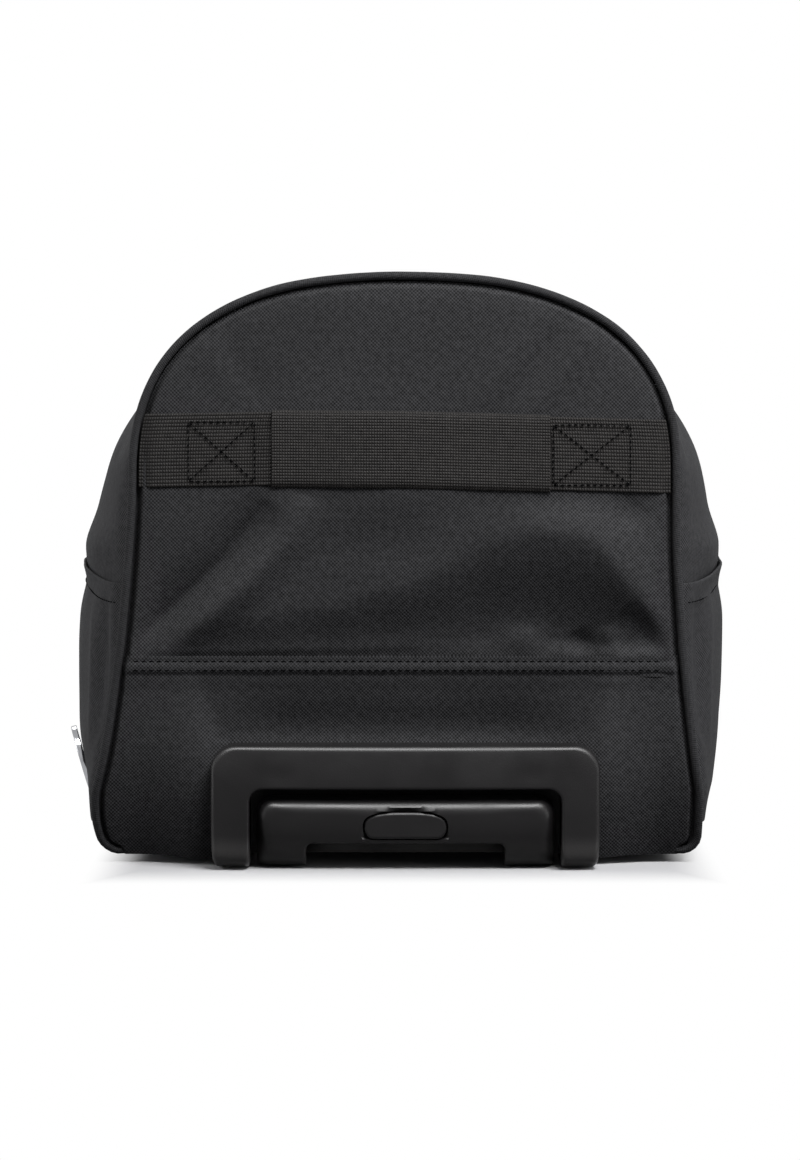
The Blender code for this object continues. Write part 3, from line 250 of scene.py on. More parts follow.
def half_width(z):
    """Half width of the end outline at a height, above the bottom corners."""
    z = np.asarray(z, float)
    rise = np.clip((z - SPRING_Z) / (TOP_Z - SPRING_Z), 0.0, 1.0)
    drop = np.clip((SPRING_Z - z) / (SPRING_Z - FLARE_Z), 0.0, 1.0)
    arch = ARCH_HALF * (1.0 - rise ** ARCH_POWER) ** (1.0 / ARCH_POWER)
    return np.where(z >= SPRING_Z, arch, ARCH_HALF + (BASE_HALF - ARCH_HALF) * drop ** FLARE_POWER)


def arc(cx, cz, radius, start, end, steps):
    """Points on a circular arc, angles in degrees."""
    t = np.radians(np.linspace(start, end, steps + 1))
    return np.stack([cx + radius * np.cos(t), cz + radius * np.sin(t)], axis=1)


def end_path(inset):
    """Fine path (x, z) round an end: right bottom corner, side, arch, side, left bottom corner."""
    corner_z = FLOOR_GAP + CORNER
    corner = arc(BASE_HALF - CORNER, corner_z, CORNER, -90.0, 0.0, 10)
    z = np.linspace(corner_z, SPRING_Z, 60)[1:-1]
    t = np.linspace(0.0, 0.5 * math.pi, 90)
    power = 2.0 / ARCH_POWER
    x, rise = np.cos(t) ** power, np.sin(t) ** power
    arch = np.stack([ARCH_HALF * x, SPRING_Z + (TOP_Z - SPRING_Z) * rise], axis=1)
    arch[-1, 0] = 0.0
    right = np.concatenate([corner, np.stack([half_width(z), z], axis=1), arch])
    path = np.concatenate([right, right[-2::-1] * (-1.0, 1.0)])
    ahead = np.concatenate([path[1:], path[-1:]]) - np.concatenate([path[:1], path[:-1]])
    ahead /= np.linalg.norm(ahead, axis=1)[:, None]
    return path + inset * np.stack([-ahead[:, 1], ahead[:, 0]], axis=1)


def above(path, right_z, left_z):
    """Part of an end path above one height on the right and another on the left."""
    top = int(np.argmax(path[:, 1]))
    right = path[:top + 1][path[:top + 1, 1] > right_z + 1e-6]
    left = path[top:][path[top:, 1] > left_z + 1e-6]
    start = [np.interp(right_z, path[:top + 1, 1], path[:top + 1, 0]), right_z]
    end = [np.interp(left_z, path[top:, 1][::-1], path[top:, 0][::-1]), left_z]
    return np.concatenate([[start], right, left[1:], [end]])


def run(path):
    """Length along a path at each of its points."""
    return np.concatenate([[0.0], np.cumsum(np.linalg.norm(np.diff(path, axis=0), axis=1))])


def along(path, t):
    """Points at even fractions t of a path's length."""
    s = run(path)
    return np.stack([np.interp(np.asarray(t) * s[-1], s, path[:, i]) for i in range(path.shape[1])], axis=-1)


def bulge(y, z):
    """Swell of a side beyond the end outline."""
    mid = 0.5 * (SHELL_FRONT + SHELL_REAR)
    reach = np.clip(np.abs(y - mid) / (0.5 * (SHELL_REAR - SHELL_FRONT)), 0.0, 1.0)
    high = 1.0 - np.clip((z - BULGE_PEAK) / (BULGE_TOP - BULGE_PEAK), 0.0, 1.0) ** BULGE_POWER
    low = 1.0 - np.clip((BULGE_PEAK - z) / (BULGE_PEAK - FLOOR_GAP), 0.0, 1.0) ** 2
    return BULGE * (1.0 - reach ** 4) * high * low * smooth((z - FLOOR_GAP) / BULGE_START)


def lean(y, z):
    """How far the soft handle end slumps to the left, most near the floor."""
    return -0.0042 * np.clip(1.0 - z / 0.235, 0.0, 1.0) * smooth((0.16 - y) / 0.30)


def toe(x, z):
    """How the left bottom corner rounds off under its own weight."""
    give = 0.0042 * np.clip((0.022 - z) / 0.018, 0.0, 1.0) ** 1.5
    give = give - 0.0016 * np.exp(-((z - 0.032) / 0.014) ** 2)
    return give * smooth((-0.110 - x) / 0.045)


def sagged(sign, x, y, z):
    """Place of a point that stands x out on one side, once the bag has slumped."""
    return sign * x + lean(y, z) + toe(sign * x, z) * smooth((-0.150 - y) / 0.09), y, z


def under(z):
    """How far the soft handle end draws in towards the floor."""
    return 0.0140 * np.clip((0.066 - z) / 0.062, 0.0, 1.0) ** 2


def nose_y(z, grow):
    """Front profile of the handle housing at a height, grown outwards."""
    z = np.asarray(z, float)
    upper = FRONT_Y - grow - NOSE_BULGE * (1.0 - np.clip((z - NOSE_Z) / (SEAM_Z - NOSE_Z), 0.0, 1.0) ** 2)
    fall = np.clip((NOSE_Z - z) / (NOSE_Z - FLOOR_GAP + grow), 0.0, 1.0)
    lower = FRONT_Y - NOSE_BULGE + NOSE_RADIUS - (NOSE_RADIUS + grow) * np.sqrt(1.0 - fall ** 2)
    return np.where(z >= NOSE_Z, upper, lower)


def crown(x):
    """The front is fullest in the middle of its width."""
    return NOSE_CROWN * np.clip(np.abs(x) / NOSE_FLAT, 0.0, 1.0) ** 2


def edge_gap(x, z, path):
    """Distance of points (x, z) from a path."""
    gap = np.full(np.shape(x), 1.0)
    for px, pz in along(path, np.linspace(0.0, 1.0, 420)):
        gap = np.minimum(gap, np.hypot(x - px, z - pz))
    return gap


def rounded(x, stations, values, reach, count):
    """Values at x from those at the stations, averaged over a reach so that no corner shows."""
    return sum(np.interp(x + shift, stations, values) for shift in np.linspace(-reach, reach, count)) / count


def ripple(x, y, scale, seed):
    """Soft seeded unevenness from -1 to 1."""
    points = np.stack(np.broadcast_arrays(x, y), axis=-1).reshape(-1, 2) / scale
    flat = [noise.noise((p[0], p[1], seed)) for p in points]
    return np.array(flat).reshape(np.shape(np.broadcast_arrays(x, y)[0]))


def crease(x, z, path, width):
    """1 along the middle of a path (x, z), falling off across it and towards its ends."""
    path = np.asarray(path, float)
    best = np.full(np.shape(x), 1e9)
    place = np.zeros(np.shape(x))
    total = run(path)
    for a, b, s in zip(path, path[1:], total):
        step = b - a
        size = np.linalg.norm(step)
        t = np.clip(((x - a[0]) * step[0] + (z - a[1]) * step[1]) / size ** 2, 0.0, 1.0)
        gap = np.hypot(x - a[0] - t * step[0], z - a[1] - t * step[1])
        place = np.where(gap < best, (s + t * size) / total[-1], place)
        best = np.minimum(best, gap)
    return np.exp(-(best / width) ** 2) * np.sin(np.pi * np.clip(0.12 + 0.88 * place, 0.0, 1.0)) ** 0.7


# Modelling helpers


def pick(obj):
    """Make one object the only selected one, and the active one."""
    bpy.ops.object.select_all(action="DESELECT")
    obj.select_set(True)
    bpy.context.view_layer.objects.active = obj


def points_of(obj):
    """Vertex positions as an array."""
    flat = np.empty(3 * len(obj.data.vertices))
    obj.data.vertices.foreach_get("co", flat)
    return flat.reshape(-1, 3)


def move_points(obj, points):
    """Sculpt-like move of every vertex."""
    obj.data.vertices.foreach_set("co", np.ascontiguousarray(points, float).ravel())
    obj.data.update()


def grid_piece(name, columns, rows, place, cloth, outwards=None):
    """Grid primitive carried to place(u, v); its UV map is the flat cloth, or its front view, in metres."""
    bpy.ops.object.select_all(action="DESELECT")
    bpy.ops.mesh.primitive_grid_add(x_subdivisions=columns, y_subdivisions=rows, size=2.0)
    piece = bpy.context.object
    piece.name = piece.data.name = name
    flat = points_of(piece)
    u, v = (flat[:, 0] + 1.0) / 2.0, (flat[:, 1] + 1.0) / 2.0
    move_points(piece, np.stack(np.broadcast_arrays(*place(u, v)), axis=1))
    corners = np.empty(len(piece.data.loops), int)
    piece.data.loops.foreach_get("vertex_index", corners)
    uv = np.stack([u * cloth[0], v * cloth[1]], axis=1) if cloth else points_of(piece)[:, (0, 2)]
    piece.data.uv_layers.active.data.foreach_set("uv", uv[corners].ravel())
    if outwards is not None:
        facing = np.zeros(3 * len(piece.data.polygons))
        piece.data.polygons.foreach_get("normal", facing)
        if np.dot(facing.reshape(-1, 3).sum(axis=0), outwards) < 0.0:
            edit(piece, lambda: bpy.ops.mesh.flip_normals())
    return piece


def edit(piece, work):
    """Run an edit-mode step on the whole of a piece."""
    pick(piece)
    bpy.ops.object.mode_set(mode="EDIT")
    bpy.ops.mesh.select_all(action="SELECT")
    work()
    bpy.ops.object.mode_set(mode="OBJECT")


def close_tube():
    """Merge the seam of a rolled-up grid, cap its ends and point its faces out."""
    bpy.ops.mesh.remove_doubles(threshold=1e-6)
    bpy.ops.mesh.select_all(action="DESELECT")
    bpy.ops.mesh.select_non_manifold(extend=False, use_wire=False, use_multi_face=False,
                                     use_non_contiguous=False, use_verts=False)
    bpy.ops.mesh.fill_holes(sides=0)
    bpy.ops.mesh.select_all(action="SELECT")
    bpy.ops.mesh.normals_make_consistent(inside=False)


def loft_piece(name, rings, cloth=(1.0, 1.0)):
    """Closed skin over rings of equal count, capped at both ends."""
    rings = np.asarray(rings, float)
    count, around = rings.shape[:2]

    def place(u, v):
        i = np.rint(v * (count - 1)).astype(int)
        k = np.rint(u * around).astype(int) % around
        return rings[i, k, 0], rings[i, k, 1], rings[i, k, 2]

    piece = grid_piece(name, around, count - 1, place, cloth)
    edit(piece, close_tube)
    return piece


def apply(piece, kind, **settings):
    """Add a modifier and apply it."""
    pick(piece)
    mod = piece.modifiers.new(kind.lower(), kind)
    for key, value in settings.items():
        setattr(mod, key, value)
    bpy.ops.object.modifier_apply(modifier=mod.name)


def thicken(piece, wall, even=True, undercut=False):
    """Give a sheet its wall, inwards; undercut draws the lining back, for a dark groove beside the piping."""
    count = len(piece.data.vertices)
    apply(piece, "SOLIDIFY", thickness=wall, offset=-1.0, use_even_offset=even)
    if undercut:
        reach, kept = 0.018, 0.58
        near, far = SHELL_FRONT + reach, SHELL_REAR - reach
        points = points_of(piece)
        y = points[count:, 1]
        y = np.where(y < near, near - kept * (near - y), np.where(y > far, far + kept * (y - far), y))
        points[count:, 1] = y
        move_points(piece, points)


def bevel(piece, width, segments=3, angle=35.0, clamp=True):
    """Round the sharp edges."""
    apply(piece, "BEVEL", width=width, segments=segments, limit_method="ANGLE", use_clamp_overlap=clamp,
          angle_limit=math.radians(angle))


def cut(piece, cutter):
    """Cut the space of a second solid out of a piece."""
    apply(piece, "BOOLEAN", operation="DIFFERENCE", object=cutter, solver="EXACT")
    bpy.data.objects.remove(cutter, do_unlink=True)


def prism(outline, axis, start, end):
    """Cutter: an outline filled and extruded along an axis."""
    rings = [[(w, u, v) if axis == "X" else (u, w, v) for u, v in outline] for w in (start, end)]
    return loft_piece("cutter", rings)


def dress(piece, material, body, slot, *nodes, angle=None, crisp=False):
    """Shade a finished piece, give it its material and body, and hide the CAD nodes it stands for.

    A piece that bends across a joint has no body here.
    """
    piece.data.materials.clear()
    piece.data.materials.append(material)
    pick(piece)
    if angle is None:
        bpy.ops.object.shade_smooth()
    else:
        bpy.ops.object.shade_smooth_by_angle(angle=math.radians(angle))
    if crisp:
        apply(piece, "WEIGHTED_NORMAL", weight=80, keep_sharp=True)
    if body:
        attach(piece, body)
    if nodes:
        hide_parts(*nodes)
    return piece


def refined(node, name, material, slot, width=0.0006, segments=2, angle=30.0):
    """Merged copy of a rigid CAD node with its edges rounded."""
    source = frame["nodes"][node]
    piece = bpy.data.objects.new(name, source.data.copy())
    bpy.context.scene.collection.objects.link(piece)
    edit(piece, merge_copy)
    if width:
        bevel(piece, width, segments, angle)
    return dress(piece, material, source["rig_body"], slot, node, angle=angle)


def merge_copy():
    """Merge loose triangles and melt those that lie in one plane."""
    bpy.ops.mesh.remove_doubles(threshold=2e-6)
    bpy.ops.mesh.dissolve_limited(angle_limit=math.radians(1.5))


def settle(piece, pressure, slack, cap, pinned):
    """Let a sheet settle as cloth, held where pinned(points) is true, and keep the result."""
    before = points_of(piece)
    group = piece.vertex_groups.new(name="sewn")
    group.add([int(i) for i in np.nonzero(pinned(before))[0]], 1.0, "REPLACE")
    pick(piece)
    mod = piece.modifiers.new("cloth", "CLOTH")
    cloth = mod.settings
    cloth.quality = 6
    cloth.mass = 0.35
    cloth.air_damping = 6.0
    cloth.tension_stiffness = cloth.compression_stiffness = 30.0
    cloth.shear_stiffness = 12.0
    cloth.bending_stiffness = 1.2
    cloth.shrink_min = -slack
    cloth.shrink_max = -slack
    cloth.vertex_group_mass = "sewn"
    cloth.pin_stiffness = 1.0
    cloth.use_pressure = True
    cloth.uniform_pressure_force = pressure
    cloth.effector_weights.gravity = 0.0
    mod.collision_settings.use_collision = False
    frames = sizes().cloth_frames
    mod.point_cache.frame_start = 1
    mod.point_cache.frame_end = frames
    scene = bpy.context.scene
    for number in range(1, frames + 1):
        scene.frame_set(number)
    bpy.ops.object.modifier_apply(modifier=mod.name)
    scene.frame_set(1)
    piece.vertex_groups.clear()
    move = points_of(piece) - before
    reach = np.linalg.norm(move, axis=1, keepdims=True)
    move_points(piece, before + move * (cap * np.tanh(reach / cap) / np.maximum(reach, 1e-9)))


def bead(segments, rings):
    """Points and faces of a unit ball, from which stitches and zip loops are shaped."""
    bpy.ops.object.select_all(action="DESELECT")
    bpy.ops.mesh.primitive_uv_sphere_add(segments=segments, ring_count=rings, radius=1.0)
    ball = bpy.context.object
    points = points_of(ball)
    faces = [list(face.vertices) for face in ball.data.polygons]
    bpy.data.objects.remove(ball, do_unlink=True)
    return points, faces


def row_piece(name, copies, faces):
    """One mesh out of copies of a shape, each given by its points."""
    step = len(copies[0])
    polys = [[k + i * step for k in face] for i in range(len(copies)) for face in faces]
    mesh = bpy.data.meshes.new(name)
    mesh.from_pydata(np.concatenate(copies).tolist(), [], polys)
    piece = bpy.data.objects.new(name, mesh)
    bpy.context.scene.collection.objects.link(piece)
    edit(piece, lambda: bpy.ops.mesh.normals_make_consistent(inside=False))
    return piece


def stitches(name, lines, body, pitch=None, lift=0.0003):
    """Rows of stitches: one modelled stitch copied along lines of (point, outward normal)."""
    pitch = pitch or sizes().stitch
    thick = sizes().thread
    ball, faces = bead(6, 5)
    shape = ball[:, (2, 1, 0)] * (1.0, 1.0, -1.0)
    shape = shape / shape.max(axis=0) * (0.34 * pitch, 0.5 * thick, 0.5 * thick)
    copies = []
    for points, normals in lines:
        points, normals = np.asarray(points, float), np.asarray(normals, float)
        total = run(points)[-1]
        count = max(1, int(round(total / pitch)))
        for i in range(count):
            a, b = along(points, [(i + 0.16) / count, (i + 0.84) / count])
            out = along_normals(points, normals, (i + 0.5) / count)
            ahead = (b - a) / max(np.linalg.norm(b - a), 1e-9)
            side = np.cross(out, ahead)
            stretch = total / count / pitch
            copies.append(0.5 * (a + b) + out * lift + shape @ np.stack([ahead * stretch, side, out]))
    return dress(row_piece(name, copies, faces), thread_material(), body, "webbing")


def along_normals(points, normals, t):
    """Normal at a fraction of a line's length."""
    s = run(points)
    out = np.array([np.interp(t * s[-1], s, normals[:, i]) for i in range(3)])
    return out / max(np.linalg.norm(out), 1e-9)


# Materials


def add(tree, kind, inputs=(), **settings):
    """Add a node, set its options, and fill its inputs with values or other nodes' outputs."""
    node = tree.nodes.new(kind)
    for key, value in settings.items():
        setattr(node, key, value)
    for key, value in dict(inputs).items():
        if isinstance(value, bpy.types.NodeSocket):
            tree.links.new(value, node.inputs[key])
        else:
            node.inputs[key].default_value = value
    return node


def blank(name):
    """New Principled material, or None where it is there already."""
    if name in bpy.data.materials:
        return None, None, None
    mat = bpy.data.materials.new(name)
    mat.use_nodes = True
    shader = mat.node_tree.nodes["Principled BSDF"]
    return mat, mat.node_tree, shader


def woven(name, dark, light, pitch, rise=1.0, turn=0.0, depth=0.00016, roughness=0.82, rows=False):
    """Woven yarn: matt, with a bead of light on every crossing and a little unevenness in the dye.

    The weft is rise times as wide as the warp; rows raises every crossing, not only each second one.
    """
    mat, tree, shader = blank(name)
    if mat is None:
        return bpy.data.materials[name]
    cloth = add(tree, "ShaderNodeTexCoord").outputs["UV"]
    turned = add(tree, "ShaderNodeMapping", {"Vector": cloth, "Rotation": (0.0, 0.0, turn)})
    turns = (2.0 * math.pi / pitch, 2.0 * math.pi / (pitch * rise), 1.0)
    yarn = add(tree, "ShaderNodeVectorMath", {0: turned.outputs[0], 1: turns}, operation="MULTIPLY")
    axes = add(tree, "ShaderNodeSeparateXYZ", {0: yarn.outputs[0]})
    warp = add(tree, "ShaderNodeMath", {0: axes.outputs[0]}, operation="SINE")
    weft = add(tree, "ShaderNodeMath", {0: axes.outputs[1]}, operation="SINE")
    knots = add(tree, "ShaderNodeMath", {0: warp.outputs[0], 1: weft.outputs[0]}, operation="MULTIPLY")
    height = add(tree, "ShaderNodeMath", {0: knots.outputs[0], 1: 0.5, 2: 0.5}, operation="MULTIPLY_ADD")
    if rows:
        height = add(tree, "ShaderNodeMath", {0: knots.outputs[0]}, operation="ABSOLUTE")
    fuzz = add(tree, "ShaderNodeTexNoise", {"Vector": cloth, "Scale": 0.6 / pitch, "Detail": 2.0})
    blend = add(tree, "ShaderNodeMath", {0: fuzz.outputs[0], 1: 0.7, 2: height.outputs[0]},
                operation="MULTIPLY_ADD")
    # Painted shade between the yarns and painted highlight on each crossing, set by the yarn height
    tone = add(tree, "ShaderNodeMapRange", {0: blend.outputs[0], 1: 0.36, 2: 1.40})
    lit_yarns = add(tree, "ShaderNodeMix", {0: tone.outputs[0], 6: dark, 7: light}, data_type="RGBA")
    cloud = add(tree, "ShaderNodeTexNoise", {"Vector": cloth, "Scale": 16.0, "Detail": 3.0})
    level = add(tree, "ShaderNodeMapRange", {0: cloud.outputs[0], 1: 0.3, 2: 0.7, 3: 0.9, 4: 1.1})
    faded = add(tree, "ShaderNodeVectorMath", {0: lit_yarns.outputs[2], "Scale": level.outputs[0]},
                operation="SCALE")
    bump = add(tree, "ShaderNodeBump", {"Height": blend.outputs[0], "Distance": depth, "Strength": 1.0})
    tree.links.new(faded.outputs[0], shader.inputs["Base Color"])
    tree.links.new(bump.outputs[0], shader.inputs["Normal"])
    shader.inputs["Roughness"].default_value = roughness
    shader.inputs["Specular IOR Level"].default_value = 0.05
    return mat


def shell_fabric():
    """Coarse plain-woven polyester: a fine checker of lit beads, matt all over."""
    return woven("woven_polyester_shell", paint("fabric_dark"), paint("fabric_light"), sizes().weave)


def piping_fabric():
    """Bias-cut polyester round the piping cord, whose ribs run slantwise round it."""
    return woven("bias_polyester_piping", paint("piping_dark"), paint("piping_light"), sizes().twill,
                 turn=math.pi / 3.2)


def webbing(name="polypropylene_webbing", rise=1.3):
    """Polypropylene webbing: ribs along and picks across, with a faint warm shine."""
    return woven(name, paint("webbing_dark"), paint("webbing_light"), sizes().webbing, rise=rise,
                 depth=0.0004, roughness=0.62, rows=True)


def tape_fabric():
    """Dense woven zip tape, nearly smooth to the eye."""
    return woven("woven_zip_tape", paint("tape"), paint("coil"), 0.0009, rise=1.6, depth=0.0001,
                 roughness=0.75)


def moulded(name, base, grain, depth, roughness, spread=0.08, metallic=0.0, specular=0.2, foot=None):
    """Moulded or finished solid: fine grain in the bump and a little change of gloss over the surface.

    With a foot colour, the solid turns to it near the floor, as a painted reflection of the lit floor.
    """
    mat, tree, shader = blank(name)
    if mat is None:
        return bpy.data.materials[name]
    place = add(tree, "ShaderNodeTexCoord").outputs["Object"]
    fine = add(tree, "ShaderNodeTexNoise", {"Vector": place, "Scale": 1.0 / grain, "Detail": 2.0,
                                            "Roughness": 0.6})
    cloud = add(tree, "ShaderNodeTexNoise", {"Vector": place, "Scale": 28.0, "Detail": 4.0})
    gloss = add(tree, "ShaderNodeMapRange", {0: cloud.outputs[0], 1: 0.3, 2: 0.7, 3: roughness - spread,
                                             4: roughness + spread})
    level = add(tree, "ShaderNodeMapRange", {0: fine.outputs[0], 1: 0.25, 2: 0.75, 3: 0.88, 4: 1.12})
    tinted = add(tree, "ShaderNodeVectorMath", {0: base[:3], "Scale": level.outputs[0]}, operation="SCALE")
    # Painted reflection of the lit floor: the colour turns to the foot colour near the floor
    if foot:
        height = add(tree, "ShaderNodeSeparateXYZ", {0: place})
        near = add(tree, "ShaderNodeMapRange", {0: height.outputs[2], 1: 0.018, 2: 0.005},
                   interpolation_type="SMOOTHSTEP")
        tone = add(tree, "ShaderNodeMix", {0: near.outputs[0], 6: base, 7: foot}, data_type="RGBA")
        tree.links.new(tone.outputs[2], tinted.inputs[0])
    bump = add(tree, "ShaderNodeBump", {"Height": fine.outputs[0], "Distance": depth, "Strength": 1.0})
    tree.links.new(tinted.outputs[0], shader.inputs["Base Color"])
    tree.links.new(gloss.outputs[0], shader.inputs["Roughness"])
    tree.links.new(bump.outputs[0], shader.inputs["Normal"])
    shader.inputs["Metallic"].default_value = metallic
    if not metallic:
        shader.inputs["Specular IOR Level"].default_value = specular
    return mat


def plastic():
    """ABS from a spark-eroded mould: satin, with a fine even grain, and a painted reflection of the lit floor
    that makes it paler at the feet it stands on.
    """
    return moulded("moulded_abs", paint("plastic"), sizes().grain, 0.00006, 0.40, specular=0.13,
                   foot=paint("floor_lit"))


def thread_material():
    """Bonded polyester thread, sunk in the cloth, so it reads as fine dark dashes without a shine."""
    return moulded("polyester_thread", paint("thread"), 0.0006, 0.00008, 0.8, specular=0.0)


def coil_nylon():
    """Nylon monofilament of the zip coil, smooth and slightly shiny."""
    return moulded("nylon_coil", paint("coil"), 0.002, 0.00002, 0.45, specular=0.08)


def anodised():
    """Black anodised aluminium tube with a faint drawn grain."""
    return moulded("black_anodised_aluminium", paint("tube"), 0.0004, 0.00002, 0.36, metallic=1.0)


def chrome():
    """Polished chrome plating, which shows the bag and the room in patches."""
    return moulded("polished_chrome", paint("chrome"), 0.004, 0.000004, 0.10, spread=0.03, metallic=1.0)


def zinc():
    """Die-cast zinc with a dark nickel plating, which glints on its rounded edges."""
    return moulded("nickel_plated_zinc", paint("zinc"), 0.0012, 0.00002, 0.3, metallic=1.0)


def steel():
    """Zinc-plated steel, bright and a little hazy."""
    return moulded("plated_steel", paint("steel"), 0.0008, 0.00001, 0.32, metallic=1.0)


def rubber():
    """Moulded thermoplastic rubber, matt with a dusty bloom."""
    return moulded("moulded_rubber", paint("rubber"), 0.0009, 0.00008, 0.7)


def foam():
    """Closed-cell polyethylene foam with open skin cells."""
    return moulded("closed_cell_foam", paint("foam"), 0.0016, 0.0003, 0.92)


def board():
    """Extruded polypropylene board, matt."""
    return moulded("polypropylene_board", paint("board"), 0.0012, 0.00005, 0.55)


# Sewn panels


def side_profile(top_z):
    """Section (x, z) of a side without its swell, from under the bottom edge to the top."""
    corner_z = FLOOR_GAP + CORNER
    corner = arc(BASE_HALF - CORNER, corner_z, CORNER - SKIN_INSET, -90.0, 0.0, 8)[:-1]
    z = np.linspace(corner_z, top_z, 90)
    return np.concatenate([corner, np.stack([half_width(z) - SKIN_INSET, z], axis=1)])


def billow(y, z):
    """Fold of a side that sags over the hem of its pocket."""
    reach = smooth((y - SHELL_FRONT) / 0.06) * smooth((POCKET_REAR + 0.01 - y) / 0.06)
    return 0.0046 * reach * smooth((z - 0.139) / 0.018) * (1.0 - smooth((z - 0.159) / 0.025))


def held_by_wheel(x, y, z):
    """Draw a side in where it is fixed to the wheel housing, and let it swell out again round it."""
    soft = 0.0012
    limit = 0.1588 + 0.75 * np.maximum(np.hypot(y - WHEEL_Y, z - WHEEL_Z) - 0.047, 0.0)
    return x - soft * np.logaddexp(0.0, (x - limit) / soft)


def side_point(path, sign, u, v):
    """Point on a side: u runs from front to rear, v up the section; it billows over the pocket hem."""
    x, z = along(path, v).T
    front = SHELL_FRONT - TUCK + under(z)
    y = front + (SHELL_REAR + TUCK - front) * u
    x = held_by_wheel(x + bulge(y, z), y, z) + billow(y, z) - welt(y, z)
    if sign > 0.0:
        reach = smooth((z - 0.120) / 0.02) * smooth((0.236 - z) / 0.02)
        x = x - 0.0016 * reach * np.exp(-((y - SHELL_FRONT - 0.0095) / 0.0013) ** 2)
    return sagged(sign, x, y, z)


def housing_cutter(sign):
    """Space of a wheel housing in the shell, whose cloth is let a little way into the housing."""
    low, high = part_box("wheel_housing_left" if sign < 0 else "wheel_housing_right")
    radius = HOUSING_RADIUS - LET_IN
    outline = arc(WHEEL_Y, WHEEL_Z, radius, 25.0, 180.0, 24)
    below, behind = -0.02, 0.30
    rest = [(WHEEL_Y - radius, below), (behind, below), (behind, outline[0][1])]
    near = low.x + LET_IN if sign > 0 else high.x - LET_IN
    return prism(np.concatenate([outline, rest]), "X", *sorted((near, sign * 0.25)))


class BAG_OT_side_panels(bpy.types.Operator):
    """Padded fabric sides with their swell, settled as cloth"""
    bl_idname = "bag.side_panels"
    bl_label = "Side panels"

    def execute(self, context):
        for side, sign in SIDES:
            top = ZIP_Z - ZIP_HALF_GAP - (0.0 if sign < 0 else ZIP_TAPE + 0.0006)
            path = side_profile(top)

            def place(u, v):
                return side_point(path, sign, u, v)

            piece = grid_piece("side_" + side, 104, 54, place, (SHELL_LONG, run(path)[-1]), (sign, 0, 0))

            def sewn(p):
                edge = (p[:, 1] < SHELL_FRONT + 0.004) | (p[:, 1] > SHELL_REAR - 0.004)
                wheel = np.hypot(p[:, 1] - WHEEL_Y, p[:, 2] - WHEEL_Z) < 0.058
                low = (p[:, 2] < 0.026) | ((p[:, 2] < 0.158) & (p[:, 1] < 0.195))
                return edge | (p[:, 2] > top - 0.003) | low | wheel

            settle(piece, 1.6, 0.5 * sizes().slack, 0.0012, sewn)
            points = points_of(piece)
            bare = np.where(points[:, 1] < POCKET_REAR, 0.150, 0.03)
            fade = smooth((points[:, 2] - bare) / 0.03) * smooth((top - 0.004 - points[:, 2]) / 0.03)
            points[:, 0] += sign * 0.0014 * fade * ripple(points[:, 1], points[:, 2], 0.045, 3.0 + sign)
            move_points(piece, points)
            apply(piece, "SUBSURF", levels=1, render_levels=1)
            thicken(piece, PANEL_WALL, undercut=True)
            cut(piece, housing_cutter(sign))
            dress(piece, shell_fabric(), "bag", "polyester_fabric", "side_panel_" + side, angle=40.0)
        return {"FINISHED"}


def pocket_lift(y, z):
    """Stand-off of a pocket from the side, sewn flat at its foot and ends."""
    mid = 0.5 * (POCKET_FRONT + POCKET_REAR)
    reach = np.clip(np.abs(y - mid) / (0.5 * (POCKET_REAR - POCKET_FRONT)), 0.0, 1.0)
    rise = smooth((z - POCKET_LOW) / 0.05)
    hem = 1.0 - smooth((z - 0.122) / 0.028)
    return 0.0010 + 0.0010 * smooth((y - SHELL_FRONT) / 0.012) + 0.0028 * (1.0 - reach ** 3) * rise * hem


def welt(y, z):
    """How far a side dips beside the piping of the handle end."""
    return 0.0024 * (1.0 - smooth((y - SHELL_FRONT - under(z)) / 0.0085))


def pocket_point(sign, y, z, proud=0.0):
    """Point on the outside of a pocket."""
    hem = smooth((z - hem_z(y) + sizes().hem) / 0.0015)
    if sign < 0.0:
        proud = proud + 0.0032 * np.exp(-((y + 0.085) / 0.050) ** 2 - ((z - 0.042) / 0.028) ** 2)
        proud = proud - 0.0030 * np.exp(-((y + 0.185) / 0.055) ** 2 - ((z - 0.034) / 0.015) ** 2)
    x = held_by_wheel(half_width(z) - SKIN_INSET + bulge(y, z), y, z) + billow(y, z) - welt(y, z)
    x = x + pocket_lift(y, z) + 0.0004 * hem + proud
    return sagged(sign, x, y, z)


def hem_z(y):
    """Height of the top edge of a pocket, which droops towards the handle end."""
    return POCKET_TOP - 0.0055 * smooth((-0.150 - y) / 0.09)


